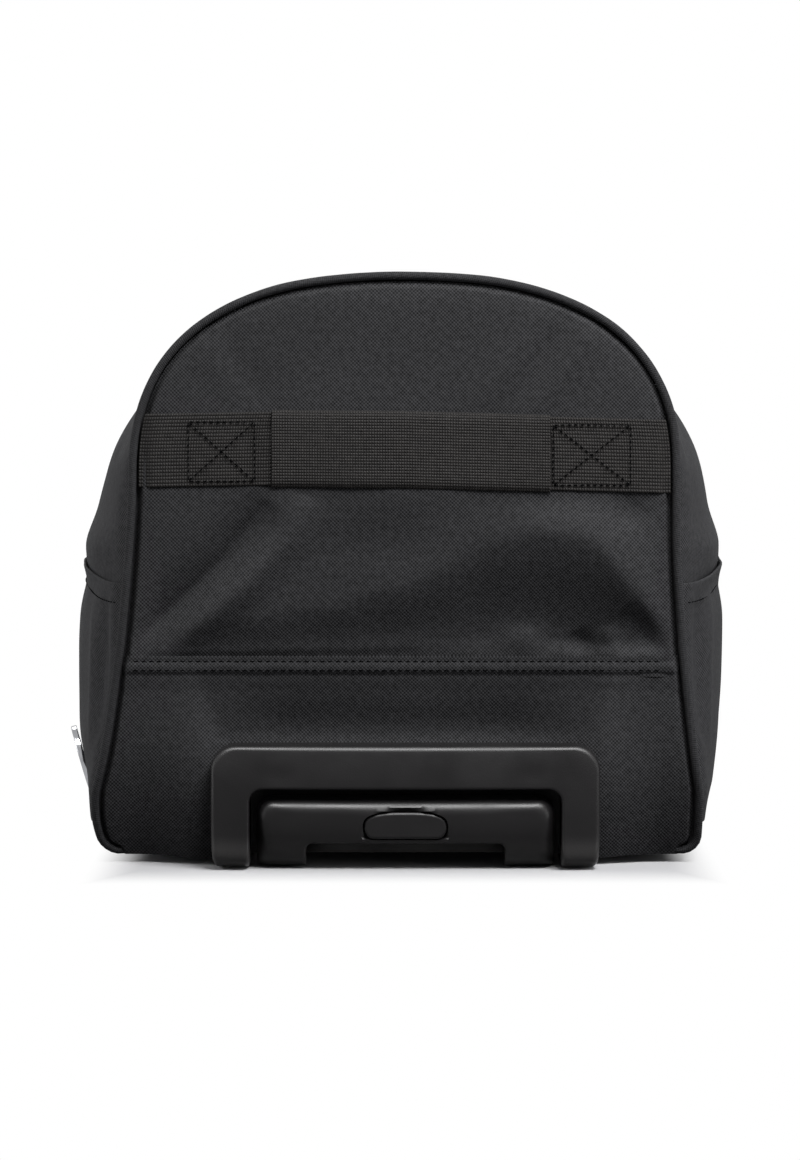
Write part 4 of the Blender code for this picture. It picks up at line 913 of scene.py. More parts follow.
class BAG_OT_pockets(bpy.types.Operator):
    """Slip pocket with a stitched hem on each side"""
    bl_idname = "bag.pockets"
    bl_label = "Side pockets"

    def execute(self, context):
        for side, sign in SIDES:
            def place(u, v):
                level = POCKET_LOW + (POCKET_TOP - POCKET_LOW) * v
                front = SHELL_FRONT + 0.0004 - TUCK + under(level)
                y = front + (POCKET_REAR - front) * u
                z = POCKET_LOW + (hem_z(y) - POCKET_LOW) * v
                return pocket_point(sign, y, z)

            piece = grid_piece("pocket_" + side, 110, 66, place, (0.452, 0.138), (sign, 0, 0))
            points = points_of(piece)
            y, z = points[:, 1], points[:, 2]
            ends = smooth((y - POCKET_FRONT) / 0.05) * smooth((POCKET_REAR - y) / 0.05)
            fade = smooth((z - POCKET_LOW) / 0.04) * (0.25 + 0.75 * ends)
            points[:, 0] += sign * 0.0011 * fade * ripple(y, z, 0.045, 8.0 + sign)
            tuck = crease(y, z, [(-0.240, 0.070), (-0.236, 0.105), (-0.230, 0.142)], 0.007)
            swell = crease(y, z, [(-0.226, 0.066), (-0.218, 0.105), (-0.204, 0.140)], 0.007)
            points[:, 0] += sign * (0.0018 * swell - 0.0034 * tuck)
            move_points(piece, points)
            thicken(piece, POCKET_WALL)
            apply(piece, "SUBSURF", levels=1, render_levels=1)
            dress(piece, shell_fabric(), "bag", "pocket_fabric", "side_pocket_" + side)
            y = np.linspace(POCKET_FRONT + 0.004, POCKET_REAR - 0.004, 90)
            z = np.linspace(POCKET_LOW + 0.004, POCKET_TOP - 0.002, 30)
            rear = np.full_like(z, POCKET_REAR - 0.003)
            lines = []
            for row in ((y, hem_z(y) - sizes().hem + 0.0022, 0.0001), (rear, z, 0.0003)):
                points = np.stack(pocket_point(sign, *row), axis=1)
                lines.append((points, np.tile((sign, 0.0, 0.0), (len(points), 1))))
            stitches("pocket_stitches_" + side, lines, "bag", lift=-0.0001)
        return {"FINISHED"}


def end_sheet(low_z, inset, u, v):
    """Point (x, z) inside an end outline above a height, from its four edges."""
    path = above(end_path(inset), low_z, low_z)
    corner = 0.335
    right = along(path, corner * v)
    left = along(path, 1.0 - corner * v)
    top = along(path, 1.0 - corner - (1.0 - 2.0 * corner) * u)
    foot = np.stack([path[-1, 0] + (path[0, 0] - path[-1, 0]) * u, np.full_like(u, low_z)], axis=-1)
    c00, c10 = path[-1], path[0]
    c01, c11 = along(path, 1.0 - corner), along(path, corner)
    u, v = u[:, None], v[:, None]
    flat = (1 - v) * foot + v * top + (1 - u) * left + u * right
    flat = flat - ((1 - u) * (1 - v) * c00 + u * (1 - v) * c10 + (1 - u) * v * c01 + u * v * c11)
    return flat[:, 0], flat[:, 1]


def fold_line(x, *values):
    """Value of a fold at x, from values at the stations across the handle end, rounded between them."""
    stations = (-0.145, -0.100, -0.055, 0.0, 0.049, 0.080, 0.100, 0.121, 0.138)
    return rounded(x, stations, values, 0.009, 7)


def front_relief(x, z):
    """How far the upper front panel stands out of its plane: a slump over the seam and soft folds."""
    crest = fold_line(x, 0.125, 0.128, 0.134, 0.146, 0.170, 0.174, 0.166, 0.146, 0.126)
    crest = crest + 0.004 * ripple(x, 0.0, 0.022, 5.0)
    stand = fold_line(x, 0.0, 0.0005, 0.0012, 0.0018, 0.0034, 0.0052, 0.0070, 0.0078, 0.0034)
    trough = fold_line(x, 0.112, 0.112, 0.113, 0.115, 0.119, 0.118, 0.116, 0.116, 0.115)
    sink = fold_line(x, 0.0, -0.0020, -0.0034, -0.0060, -0.0098, -0.0098, -0.0072, -0.0022, 0.0)
    foot = fold_line(x, 0.0, -0.0034, -0.0050, -0.0074, -0.0086, -0.0066, -0.0035, 0.0005, 0.0010)
    climb = np.clip((z - trough) / (crest - trough), 0.0, 1.0)
    climb = 0.25 * climb + 0.75 * smooth(climb)
    fading = stand * (1.0 - smooth((z - crest) / (0.192 - crest)))
    out = np.where(z > crest, fading, sink + (stand - sink) * climb)
    out = np.where(z < trough, foot + (sink - foot) * smooth((z - 0.108) / (trough - 0.108)), out)
    ridge = [(-0.121, 0.1124), (-0.0826, 0.1456), (-0.060, 0.170), (-0.050, 0.192)]
    valley = [(-0.141, 0.115), (-0.115, 0.138), (-0.094, 0.1586), (-0.070, 0.190)]
    out += 0.0066 * crease(x, z, ridge, 0.009)
    out -= 0.0052 * crease(x, z, valley, 0.012) + 0.0020 * crease(x, z, valley, 0.0038)
    out += 0.0026 * crease(x, z, [(0.112, 0.105), (0.111, 0.113), (0.107, 0.125)], 0.0055)
    out -= 0.0030 * crease(x, z, [(0.0985, 0.104), (0.097, 0.111), (0.091, 0.122)], 0.0055)
    out -= 0.0028 * crease(x, z, [(0.144, 0.107), (0.132, 0.117), (0.116, 0.135)], 0.0065)
    out += 0.0028 * np.exp(-((x - 0.063) / 0.011) ** 2 - ((z - 0.1175) / 0.006) ** 2)
    out -= 0.0018 * np.exp(-((x - 0.118) / 0.010) ** 2 - ((z - 0.184) / 0.008) ** 2)
    out += 0.0040 * smooth((z - 0.160) / 0.034) * smooth((0.236 - z) / 0.035) * np.exp(-(x / 0.075) ** 2)
    out += 0.0006 * ripple(x, z, 0.040, 21.0) * smooth((0.196 - z) / 0.018)
    for side, way, height in ((0.040, 0.030, 0.0014), (0.054, 0.030, -0.0013), (0.068, 0.034, 0.0014),
                              (-0.080, -0.038, 0.0005), (-0.070, -0.030, -0.0006)):
        out += height * crease(x, z, [(side, 0.236), (side + 0.5 * way, 0.261), (side + way, 0.290)], 0.008)
    return out * smooth((half_width(z) - PANEL_INSET - np.abs(x)) / 0.016)


class BAG_OT_front_panels(bpy.types.Operator):
    """Upper and lower panel of the handle end, with the lapped seam between them"""
    bl_idname = "bag.front_panels"
    bl_label = "Handle end panels"

    def execute(self, context):
        inset = PANEL_INSET - 0.0010
        rim = above(end_path(inset), UPPER_LOW, UPPER_LOW)

        def crowded(u):
            return u - 0.095 * np.sin(2.0 * math.pi * u)

        def place(u, v):
            x, z = end_sheet(UPPER_LOW, inset, crowded(u), v)
            gap = edge_gap(x, z, rim)
            sunk = (0.0052 - 0.0024 * smooth((z - 0.215) / 0.05)) * (1.0 - smooth(gap / 0.0036))
            sunk = sunk - 0.0008 * smooth(gap / 0.012) * (1.0 - smooth(gap / 0.05))
            return x + lean(FRONT_Y, z), FRONT_Y + 0.0004 + sunk - front_relief(x, z), z

        piece = grid_piece("front_upper", 190, 140, place, None, (0, -1, 0))
        thicken(piece, PANEL_WALL, even=False)
        dress(piece, shell_fabric(), "bag", "polyester_fabric", "front_upper_panel", angle=40.0)

        def front(u, v):
            u = crowded(u)
            z = FLOOR_GAP + (SEAM_LAP - FLOOR_GAP) * v
            foot = 0.0020 * smooth((0.3 - np.abs(u - 0.5)) / 0.12 + 1.0) * (1.0 - v) ** 6
            round_off = CORNER - inset
            drop = np.clip((FLOOR_GAP + CORNER - z) / round_off, 0.0, 1.0)
            limit = half_width(np.maximum(z, FLOOR_GAP + CORNER)) - inset
            limit = limit - round_off * (1.0 - np.sqrt(1.0 - drop ** 2))
            x = limit * (2.0 * u - 1.0)
            y = FRONT_Y + 0.0003 + under(z)
            full = smooth((0.138 - np.abs(x)) / 0.038)
            shoulder = 0.070 + 0.040 * smooth((np.abs(x) - 0.090) / 0.020)
            y = y - 0.0095 * full * smooth((shoulder - z) / (shoulder - 0.030))
            middle = smooth((0.105 - np.abs(x)) / 0.055)
            y = y + 0.0046 * middle * np.exp(-((z - 0.070) / 0.0155) ** 2)
            lapped = np.clip((SEAM_LAP - z) / (SEAM_LAP - SEAM_FOLD), 0.0, 1.0)
            band = smooth((z - SEAM_FOLD) / 0.0022) * (0.0007 + 0.0010 * lapped)
            groove = sum(np.exp(-((z - row) / 0.0009) ** 2) for row in SEAM_ROWS)
            y = y - 0.0006 * smooth((z - 0.090) / 0.008) - band + 0.0004 * groove
            gap = limit - np.abs(x)
            soft = smooth(gap / 0.03) * smooth((0.098 - z) / 0.02) * smooth((z - 0.030) / 0.03)
            y = y - 0.0009 * soft * ripple(x, z * 0.6, 0.06, 31.0)
            sunk = 0.0052 * (1.0 - smooth(gap / 0.0032))
            return x + lean(FRONT_Y, z) + toe(x, z), y + sunk, z - foot

        piece = grid_piece("front_lower", 170, 120, front, None, (0, -1, 0))
        thicken(piece, LOWER_WALL)
        half, top, radius = BEZEL_INNER + 0.003, TRAY_TOP + 0.003, 0.010
        corner = arc(half - radius, top - radius, radius, 0.0, 90.0, 8)
        outline = np.concatenate([[(half, -0.03)], corner, corner[::-1] * (-1.0, 1.0), [(-half, -0.03)]])
        cut(piece, prism(outline, "Y", FRONT_Y - 0.06, FRONT_Y + 0.03))
        dress(piece, shell_fabric(), "bag", "polyester_fabric", "front_lower_panel", angle=40.0)

        x = np.linspace(-0.1395, 0.1345, 120)
        lines = []
        for z in SEAM_ROWS:
            height = np.full_like(x, z)
            face = FRONT_Y - 0.0006 - 0.0010 * (SEAM_LAP - z) / (SEAM_LAP - SEAM_FOLD)
            points = np.stack([x + lean(FRONT_Y, height), np.full_like(x, face), height], axis=1)
            lines.append((points, np.tile((0, -1, 0), (len(x), 1))))
        stitches("seam_stitches", lines, "bag", lift=0.0)
        return {"FINISHED"}


class BAG_OT_rear_panel(bpy.types.Operator):
    """Panel of the wheel end"""
    bl_idname = "bag.rear_panel"
    bl_label = "Wheel end panel"

    def execute(self, context):
        low = FLOOR_GAP + CORNER

        def place(u, v):
            x, z = end_sheet(low, PANEL_INSET - 0.0012, u, v)
            edge = smooth((half_width(z) - PANEL_INSET - np.abs(x)) / 0.03) * smooth((z - low) / 0.03)
            foot = np.exp(-((np.abs(x) - 0.090) / 0.020) ** 2 - ((z - 0.215) / 0.020) ** 2)
            out = edge * (1.0 - foot) * (0.0018 + 0.0016 * ripple(x, z, 0.05, 44.0))
            return x, REAR_Y - 0.0004 + out, z

        piece = grid_piece("rear_end", 130, 120, place, (0.30, 0.30), (0, 1, 0))
        thicken(piece, PANEL_WALL)
        for _, sign in SIDES:
            cut(piece, housing_cutter(sign))
        dress(piece, shell_fabric(), "bag", "polyester_fabric", "rear_panel", angle=40.0)
        return {"FINISHED"}


class BAG_OT_piping(bpy.types.Operator):
    """Bias-cut piping round both ends"""
    bl_idname = "bag.piping"
    bl_label = "Piping"

    def execute(self, context):
        ends = (("front_cord", "front_piping", FRONT_Y + 0.0019, 0.0),
                ("rear_cord", "rear_piping", REAR_Y - 0.0010, 0.0855))
        for name, node, y, low in ends:
            path = end_path(0.77 * PIPING)
            if not low:
                tail = np.linspace(0.030, 0.0, 8)[:-1, None] * (-1.0, 0.0)
                tail[:, 1] = 0.0020 * np.linspace(1.0, 0.0, 8)[:-1]
                path = np.concatenate([path[0] + tail, path, path[-1] + tail[::-1] * (-1.0, 1.0)])
            path[:, 0] += lean(y, path[:, 1]) + (toe(*path.T) if y < 0.0 else 0.0)
            drawn = under if y < 0.0 else np.zeros_like
            if low:
                path = above(path, low, low)
            rounds = 10
            count = int(run(path)[-1] / 0.0028)
            centres = along(path, np.linspace(0.0, 1.0, count))
            ahead = np.gradient(centres, axis=0)
            ahead /= np.linalg.norm(ahead, axis=1)[:, None]
            out = np.stack([ahead[:, 1], -ahead[:, 0]], axis=1)
            s = np.linspace(0.0, run(path)[-1], count)
            wander = np.array([noise.noise((t / 0.035, 2.0, y)) for t in s])
            centres = centres + out * (0.0004 * wander)[:, None]
            girth = PIPING * (0.76 + 0.03 * np.array([noise.noise((t / 0.012, 7.0, y)) for t in s]))
            ends_in = 0.0 if low else 0.014 * smooth((0.030 - np.minimum(s, s[-1] - s)) / 0.030)[:, None]
            angles = 2.0 * math.pi * np.arange(rounds) / rounds
            rings = np.empty((count, rounds, 3))
            rings[:, :, 0] = centres[:, None, 0] + girth[:, None] * np.cos(angles) * out[:, None, 0]
            rings[:, :, 1] = y + drawn(centres[:, None, 1]) + ends_in + girth[:, None] * np.sin(angles)
            rings[:, :, 2] = centres[:, None, 1] + girth[:, None] * np.cos(angles) * out[:, None, 1]
            piece = loft_piece(name, rings, (2.0 * math.pi * PIPING, run(path)[-1]))
            dress(piece, piping_fabric(), "bag", "piping_fabric", node, angle=60.0)
        return {"FINISHED"}


def arch_sheet(name, inset, right_z, left_z, front, rear, columns, rows, wall, puff=0.0, seed=1.0):
    """Strip over the arch between two heights, from one Y to another, a little padded."""
    path = above(end_path(inset), right_z, left_z)

    def place(u, v):
        x, z = along(path, u).T
        ahead = along(path, np.clip(u + 0.004, 0, 1)) - along(path, np.clip(u - 0.004, 0, 1))
        ahead = ahead / np.linalg.norm(ahead, axis=1)[:, None]
        y = front + (rear - front) * v
        rim = smooth(v / 0.08) * smooth((1.0 - v) / 0.08) * smooth(u / 0.05) * smooth((1.0 - u) / 0.05)
        out = puff * rim * (0.7 + 0.9 * ripple(u * run(path)[-1], y, 0.06, seed))
        return x + out * ahead[:, 1], y, z - out * ahead[:, 0]

    piece = grid_piece(name, columns, rows, place, (run(path)[-1], rear - front), (0, 0, 1))
    thicken(piece, wall, undercut=True)
    return piece


def arch_line(inset, right_z, left_z, y):
    """Line over the arch with its outward normals, for stitches and zip teeth."""
    count = 160
    path = above(end_path(inset), right_z, left_z)
    points = along(path, np.linspace(0.0, 1.0, count))
    ahead = np.gradient(points, axis=0)
    ahead /= np.linalg.norm(ahead, axis=1)[:, None]
    return (np.stack([points[:, 0], np.full(count, y), points[:, 1]], axis=1),
            np.stack([ahead[:, 1], np.zeros(count), -ahead[:, 0]], axis=1))


def side_line(z, front, rear, proud):
    """Straight line along the zip side with its outward normals."""
    count = 120
    y, height = np.linspace(front, rear, count), np.full(count, z)
    x = half_width(z) - SKIN_INSET + bulge(y, height) + proud
    return np.stack([x, y, height], axis=1), np.tile((1.0, 0.0, 0.25), (count, 1))


class BAG_OT_lid(bpy.types.Operator):
    """Padded lid and the arched gussets before and behind it"""
    bl_idname = "bag.lid"
    bl_label = "Lid and gussets"

    def execute(self, context):
        low = ZIP_Z + ZIP_HALF_GAP
        gap = 0.0003
        piece = arch_sheet("lid", SKIN_INSET + 0.0010, low + ZIP_TAPE + gap, low, LID_FRONT + gap,
                           LID_REAR - gap, 100, 120, LID_WALL, puff=0.0016, seed=12.0)
        dress(piece, shell_fabric(), "lid", "polyester_fabric", "lid_panel", angle=40.0)
        gussets = (("front", SHELL_FRONT - TUCK, GUSSET_FRONT), ("rear", GUSSET_REAR, SHELL_REAR + TUCK))
        for name, start, end in gussets:
            piece = arch_sheet("gusset_" + name, SKIN_INSET + 0.0006, low, low, start, end, 120, 10,
                               GUSSET_WALL, puff=0.0005, seed=len(name))
            dress(piece, shell_fabric(), "bag", "polyester_fabric", name + "_gusset", angle=40.0)
        self.hinge()
        edge = 0.0030
        lines = [arch_line(SKIN_INSET - 0.0004, low + 0.012, low + 0.004, LID_FRONT + edge),
                 arch_line(SKIN_INSET - 0.0004, low + 0.012, low + 0.004, LID_REAR - edge),
                 side_line(low + ZIP_TAPE + edge, LID_FRONT + 0.01, LID_REAR - 0.01, 0.0004)]
        stitches("lid_stitches", lines, "lid")
        lines = [arch_line(SKIN_INSET - 0.0003, low + 0.003, low + 0.003, GUSSET_FRONT - edge),
                 arch_line(SKIN_INSET - 0.0003, low + 0.003, low + 0.003, GUSSET_REAR + edge),
                 side_line(ZIP_Z - ZIP_TAPE - 0.0009 - edge, SHELL_FRONT + 0.006, SHELL_REAR - 0.006, 0.0008)]
        stitches("gusset_stitches", lines, "bag")
        return {"FINISHED"}

    def hinge(self):
        """Strip of cloth in the walls of the side and the lid, along the line where the lid turns."""
        flank = end_path(SKIN_INSET + 0.0026)
        flank = flank[flank[:, 0] < 0.0]
        flank = flank[np.argsort(flank[:, 1])]
        turn = np.linspace(-ZIP_HALF_GAP, ZIP_HALF_GAP, 13)
        levels = ZIP_Z + np.concatenate([[-0.0080, -0.0040], turn, [0.0040, 0.0080]])
        flat = (LID_REAR - LID_FRONT, 0.0160)

        def facing(u, v):
            z = np.interp(v, np.linspace(0.0, 1.0, len(levels)), levels)
            return np.interp(z, flank[:, 1], flank[:, 0]), LID_FRONT + flat[0] * u, z

        piece = grid_piece("hinge_facing", 60, len(levels) - 1, facing, flat, (-1, 0, 0))
        thicken(piece, 0.0008)
        dress(piece, shell_fabric(), None, "polyester_fabric", angle=40.0)
        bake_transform(piece)


def teeth(name, lines, body, shift):
    """Zip coil: one modelled loop copied along the edge of a tape; lines give (points, normals, across)."""
    pitch = sizes().tooth
    ball, faces = bead(8, 6)
    shape = ball * (0.30 * pitch, 0.0017, 0.0007)
    copies = []
    for points, normals, across in lines:
        count = int(run(points)[-1] / pitch)
        for i in range(count):
            t = (i + 0.25 + shift) / count
            out = along_normals(points, normals, t)
            ahead = along(points, min(1.0, t + 0.002)) - along(points, max(0.0, t - 0.002))
            ahead /= max(np.linalg.norm(ahead), 1e-9)
            side = np.cross(out, ahead)
            side = side * (1.0 if np.dot(side, across) > 0.0 else -1.0)
            base = along(points, t) + 0.0004 * out - 0.0007 * side
            copies.append(base + shape @ np.stack([ahead, side, out]))
    return dress(row_piece(name, copies, faces), coil_nylon(), body, "zip_tape")


class BAG_OT_zip(bpy.types.Operator):
    """Both halves of the zip with their coils, sliders and pulls"""
    bl_idname = "bag.zip"
    bl_label = "Zip"

    def execute(self, context):
        low = ZIP_Z + ZIP_HALF_GAP
        sunk = SKIN_INSET + 0.0006
        gap = 0.0003
        front_body = (GUSSET_FRONT + gap, GUSSET_FRONT + gap + ZIP_TAPE)
        rear_body = (GUSSET_REAR - gap - ZIP_TAPE, GUSSET_REAR - gap)
        tapes = (("zip_front", front_body, "bag", "zip_tape_front"),
                 ("zip_rear", rear_body, "bag", "zip_tape_rear"),
                 ("lid_tape_front", (LID_FRONT - ZIP_TAPE, LID_FRONT), "lid", "lid_zip_front"),
                 ("lid_tape_rear", (LID_REAR, LID_REAR + ZIP_TAPE), "lid", "lid_zip_rear"))
        for name, (start, end), body, node in tapes:
            piece = arch_sheet(name, sunk, low, low, start, end, 120, 4, TAPE_WALL)
            dress(piece, tape_fabric(), body, "zip_tape", node, angle=40.0)

        def lower(u, v):
            y = SHELL_FRONT + (SHELL_REAR - SHELL_FRONT) * u
            z = ZIP_Z - ZIP_HALF_GAP - ZIP_TAPE * (1.0 - v)
            return half_width(z) - sunk + bulge(y, z), y, z

        piece = grid_piece("zip_side", 110, 4, lower, (SHELL_LONG, ZIP_TAPE), (1, 0, 0))
        thicken(piece, TAPE_WALL)
        dress(piece, tape_fabric(), "bag", "zip_tape", "zip_tape_side", angle=40.0)

        def upper(u, v):
            z = low + ZIP_TAPE * v
            return half_width(z) - sunk, LID_FRONT + (LID_REAR - LID_FRONT) * u, z

        piece = grid_piece("lid_tape_side", 100, 4, upper, (0.44, ZIP_TAPE), (1, 0, 0))
        thicken(piece, TAPE_WALL)
        dress(piece, tape_fabric(), "lid", "zip_tape", "lid_zip_side", angle=40.0)

        out = sunk - 0.0002
        body_lines = [(*arch_line(out, low, low, front_body[1]), (0, 1, 0)),
                      (*arch_line(out, low, low, rear_body[0]), (0, -1, 0)),
                      (*side_line(ZIP_Z - ZIP_HALF_GAP, LID_FRONT, LID_REAR, -0.0006), (0, 0, 1))]
        lid_lines = [(*arch_line(out, low, low, LID_FRONT - ZIP_TAPE), (0, -1, 0)),
                     (*arch_line(out, low, low, LID_REAR + ZIP_TAPE), (0, 1, 0)),
                     (*side_line(low, LID_FRONT, LID_REAR, -0.0006), (0, 0, -1))]
        teeth("zip_coil", body_lines, "bag", 0.0)
        teeth("lid_coil", lid_lines, "lid", 0.5)
        for end in ("front", "rear"):
            refined("zip_slider_" + end, "slider_" + end, zinc(), "zip_metal", 0.0005)
            refined("zip_pull_" + end, "pull_" + end, zinc(), "zip_metal", 0.0003)
        return {"FINISHED"}


def strap_mid(x):
    """Height of the middle of the haul strap, which sags to the right."""
    return np.interp(x, [-0.135, -0.068, 0.0, 0.075, 0.135], [0.2157, 0.2168, 0.2163, 0.2142, 0.2126])


def strap_stand(x):
    """How far the strap's free middle stands off the panel, with a slack wave in it."""
    stations = (-0.0790, -0.0695, -0.0600, -0.0330, 0.0, 0.0500, 0.0640, 0.0750, 0.0810)
    stand = (0.0, 0.0015, 0.0007, 0.0028, 0.0026, 0.0018, 0.0011, 0.0007, 0.0)
    return rounded(x, stations, stand, 0.004, 5)


class BAG_OT_haul_strap(bpy.types.Operator):
    """Webbing haul strap, its doubled middle and the box stitching"""
    bl_idname = "bag.haul_strap"
    bl_label = "Haul strap"

    def execute(self, context):
        lay = FRONT_Y + 0.0002

        def face(x, w, proud, high):
            z = strap_mid(x) + w * high / 2.0
            sag = 0.0006 * ripple(x, z * 0.4, 0.03, 60.0)
            tuck = 0.0022 * smooth((np.abs(x) - 0.1300) / 0.0065)
            return x, lay - strap_stand(x) - 0.0015 - proud + sag + tuck, z

        def strap(u, v):
            w = 2.0 * v - 1.0
            ends = [strap_mid(x) + w * STRAP_HIGH / 2.0 for x in (-STRAP_END, STRAP_END)]
            left, right = [half_width(z) - 0.0052 for z in ends]
            return face(-left + (left + right) * u + lean(FRONT_Y, STRAP_Z), w, 0.0, STRAP_HIGH)

        piece = grid_piece("strap", 180, 26, strap, (2.0 * STRAP_END, STRAP_HIGH), (0, -1, 0))
        thicken(piece, 0.0015)
        bevel(piece, 0.0005, 2, 60.0)
        dress(piece, webbing(), "bag", "webbing", "haul_strap", angle=50.0)

        left, right = -0.0692, 0.0749

        def sleeve(u, v):
            x = left + (right - left) * u
            w = 2.0 * v - 1.0
            roll = 0.0016 * np.abs(w) ** 12
            x, y, z = face(x, w, 0.0018, SLEEVE_HIGH)
            return x, y + roll, z

        piece = grid_piece("strap_sleeve", 120, 30, sleeve, (right - left, SLEEVE_HIGH), (0, -1, 0))
        thicken(piece, 0.0014)
        bevel(piece, 0.0005, 2, 60.0)
        dress(piece, webbing("doubled_webbing", rise=1.1), "bag", "webbing", "haul_sleeve", angle=50.0)

        lines = []
        for x0, x1, z0, z1 in ((-0.1122, -0.0780, 0.2000, 0.2306), (0.0764, 0.1163, 0.1979, 0.2290)):
            corners = np.array([(x0, z0), (x1, z0), (x1, z1), (x0, z1)])
            t = np.linspace(0.0, 1.0, 24)[:, None]
            for a, b in ((0, 1), (1, 2), (2, 3), (3, 0), (0, 2), (1, 3)):
                flat = corners[a] * (1.0 - t) + corners[b] * t
                points = np.stack([flat[:, 0], lay - strap_stand(flat[:, 0]) - 0.0018, flat[:, 1]], axis=1)
                lines.append((points, np.tile((0, -1, 0), (24, 1))))
        stitches("strap_stitches", lines, "bag", pitch=0.0034)
        return {"FINISHED"}


# Pull handle


def rolled(width, outer, inner, flat):
    """Places across a moulded face from 0 to 1, and how far its rolled edges fall back there."""
    t = np.linspace(0.0, 0.5 * math.pi, 7)
    depth = np.concatenate([outer * (1.0 - np.cos(t)), np.linspace(outer, width - inner, flat + 2)[1:-1],
                            width - inner * (1.0 - np.cos(t[::-1]))])
    near = np.clip(outer - depth, 0.0, outer)
    far = np.clip(inner - (width - depth), 0.0, inner)
    fall = np.maximum(0.0, outer - np.sqrt(np.maximum(0.0, outer ** 2 - near ** 2)))
    fall = fall + inner - np.sqrt(np.maximum(0.0, inner ** 2 - far ** 2))
    return depth / width, fall


def bezel_rings():
    """Rings round the section of the bezel, from one skid to the other, with rolled edges."""
    proud, seat = 0.004, 0.001
    base = FRONT_Y + 0.0014
    skid_y = FRONT_Y - NOSE_BULGE + NOSE_RADIUS + 0.016
    steps = 18
    rings = []
    for i in range(-1, steps):
        under_share = min(1.0, 1.0 - i / steps)
        t = 0.5 * math.pi * under_share
        near = BEZEL_HALF - 0.0015 * under_share
        share, fall = rolled(near - BEZEL_INNER, 0.0030, 0.0020, 9)
        x = near + (BEZEL_INNER - near) * share
        grow = np.concatenate([proud - fall, [seat, seat]])
        x = np.concatenate([x, [BEZEL_INNER, near]])
        y = FRONT_Y - NOSE_BULGE + NOSE_RADIUS - (NOSE_RADIUS + grow) * abs(math.cos(t)) ** 0.45 + crown(x)
        z = NOSE_Z - (NOSE_Z - FLOOR_GAP + grow) * math.sin(t) ** 0.45
        y = y - 0.0036 * smooth((0.019 - z) / 0.017) * (y < FRONT_Y)
        y[-2:] = np.maximum(y[-2:], base)
        rings.append(np.stack([x, np.full_like(x, skid_y) if i < 0 else y, z], axis=1))
    rise = np.linspace(0.0, 1.0, 7)[:-1, None]
    bar = np.linspace(1.0, 0.0, 26)[1:, None]
    edges = []
    for half, top, radius in ((BEZEL_HALF, BEZEL_TOP, 0.013), (BEZEL_INNER, TRAY_TOP, 0.007)):
        leg = np.concatenate([np.full_like(rise, half), NOSE_Z + (top - radius - NOSE_Z) * rise], axis=1)
        beam = np.concatenate([(half - radius) * bar, np.full_like(bar, top)], axis=1)
        edges.append(np.concatenate([leg, arc(half - radius, top - radius, radius, 0.0, 90.0, 14), beam]))
    for (xo, zo), (xi, zi) in zip(*edges):
        share, fall = rolled(math.hypot(xi - xo, zi - zo), 0.0030, 0.0020, 9)
        x, z = xo + (xi - xo) * share, zo + (zi - zo) * share
        dimple = 0.0005 * np.exp(-((x - 0.0665) / 0.008) ** 2 - ((z - 0.0490) / 0.0045) ** 2)
        face = np.stack([x, nose_y(z, proud) + fall + dimple + crown(x), z], axis=1)
        rings.append(np.concatenate([face, [(xi, base, zi), (xo, base, zo)]]))
    rings = np.array(rings, float)
    return np.concatenate([rings, rings[-2::-1] * (-1.0, 1.0, 1.0)])


def grip_front(z):
    """Front face of the grip, rolled back towards its feet."""
    fall = np.clip((NOSE_Z - z) / (NOSE_Z - 0.0006), 0.0, 1.0)
    return nose_y(np.maximum(z, NOSE_Z), 0.003) + 0.016 * (1.0 - np.sqrt(1.0 - fall ** 2))


def grip_rings():
    """Rings round the section of the grip, from one foot to the other, its outer edge rolled over."""
    back = -0.256
    roll = 0.0080
    pairs = []
    inner_x = GRIP_HALF - GRIP_LEG
    for z in np.linspace(0.0006, GRIP_BAR_Z - 0.004, 12):
        pairs.append(((GRIP_HALF, z), (inner_x, z)))
    sides = np.linspace(GRIP_BAR_Z - 0.002, GRIP_TOP - 0.0095, 6)
    outer = np.concatenate([np.stack([np.full(6, GRIP_HALF), sides], axis=1),
                            arc(GRIP_HALF - 0.0085, GRIP_TOP - 0.0085, 0.0085, 0.0, 90.0, 12)])
    inner = arc(inner_x - 0.004, GRIP_BAR_Z - 0.004, 0.004, 0.0, 90.0, len(outer) - 1)
    pairs += list(zip(outer, inner))
    for t in np.linspace(1.0, 0.0, 46)[1:]:
        pairs.append(((outer[-1][0] * t, GRIP_TOP), (inner[-1][0] * t, GRIP_BAR_Z)))
    rings = []
    for (xo, zo), (xi, zi) in pairs:
        width = math.hypot(xi - xo, zi - zo)
        share, fall = rolled(width, roll, 0.0016, 14)
        x, z = xo + (xi - xo) * share, zo + (zi - zo) * share
        lens = np.hypot(x / 0.0228, np.maximum(z - 0.0205, 0.0) / 0.0118) + 9.0 * (z < 0.0160)
        y = grip_front(z) + crown(x) + np.maximum(fall, 0.0030 * smooth((1.0 - lens) / 0.16))
        ring = np.stack([x, y, z], axis=1).tolist()
        rings.append(ring + [(xi, back, zi), (xo, back, zo)])
    rings = np.array(rings, float)
    return np.concatenate([rings, rings[-2::-1] * (-1.0, 1.0, 1.0)])


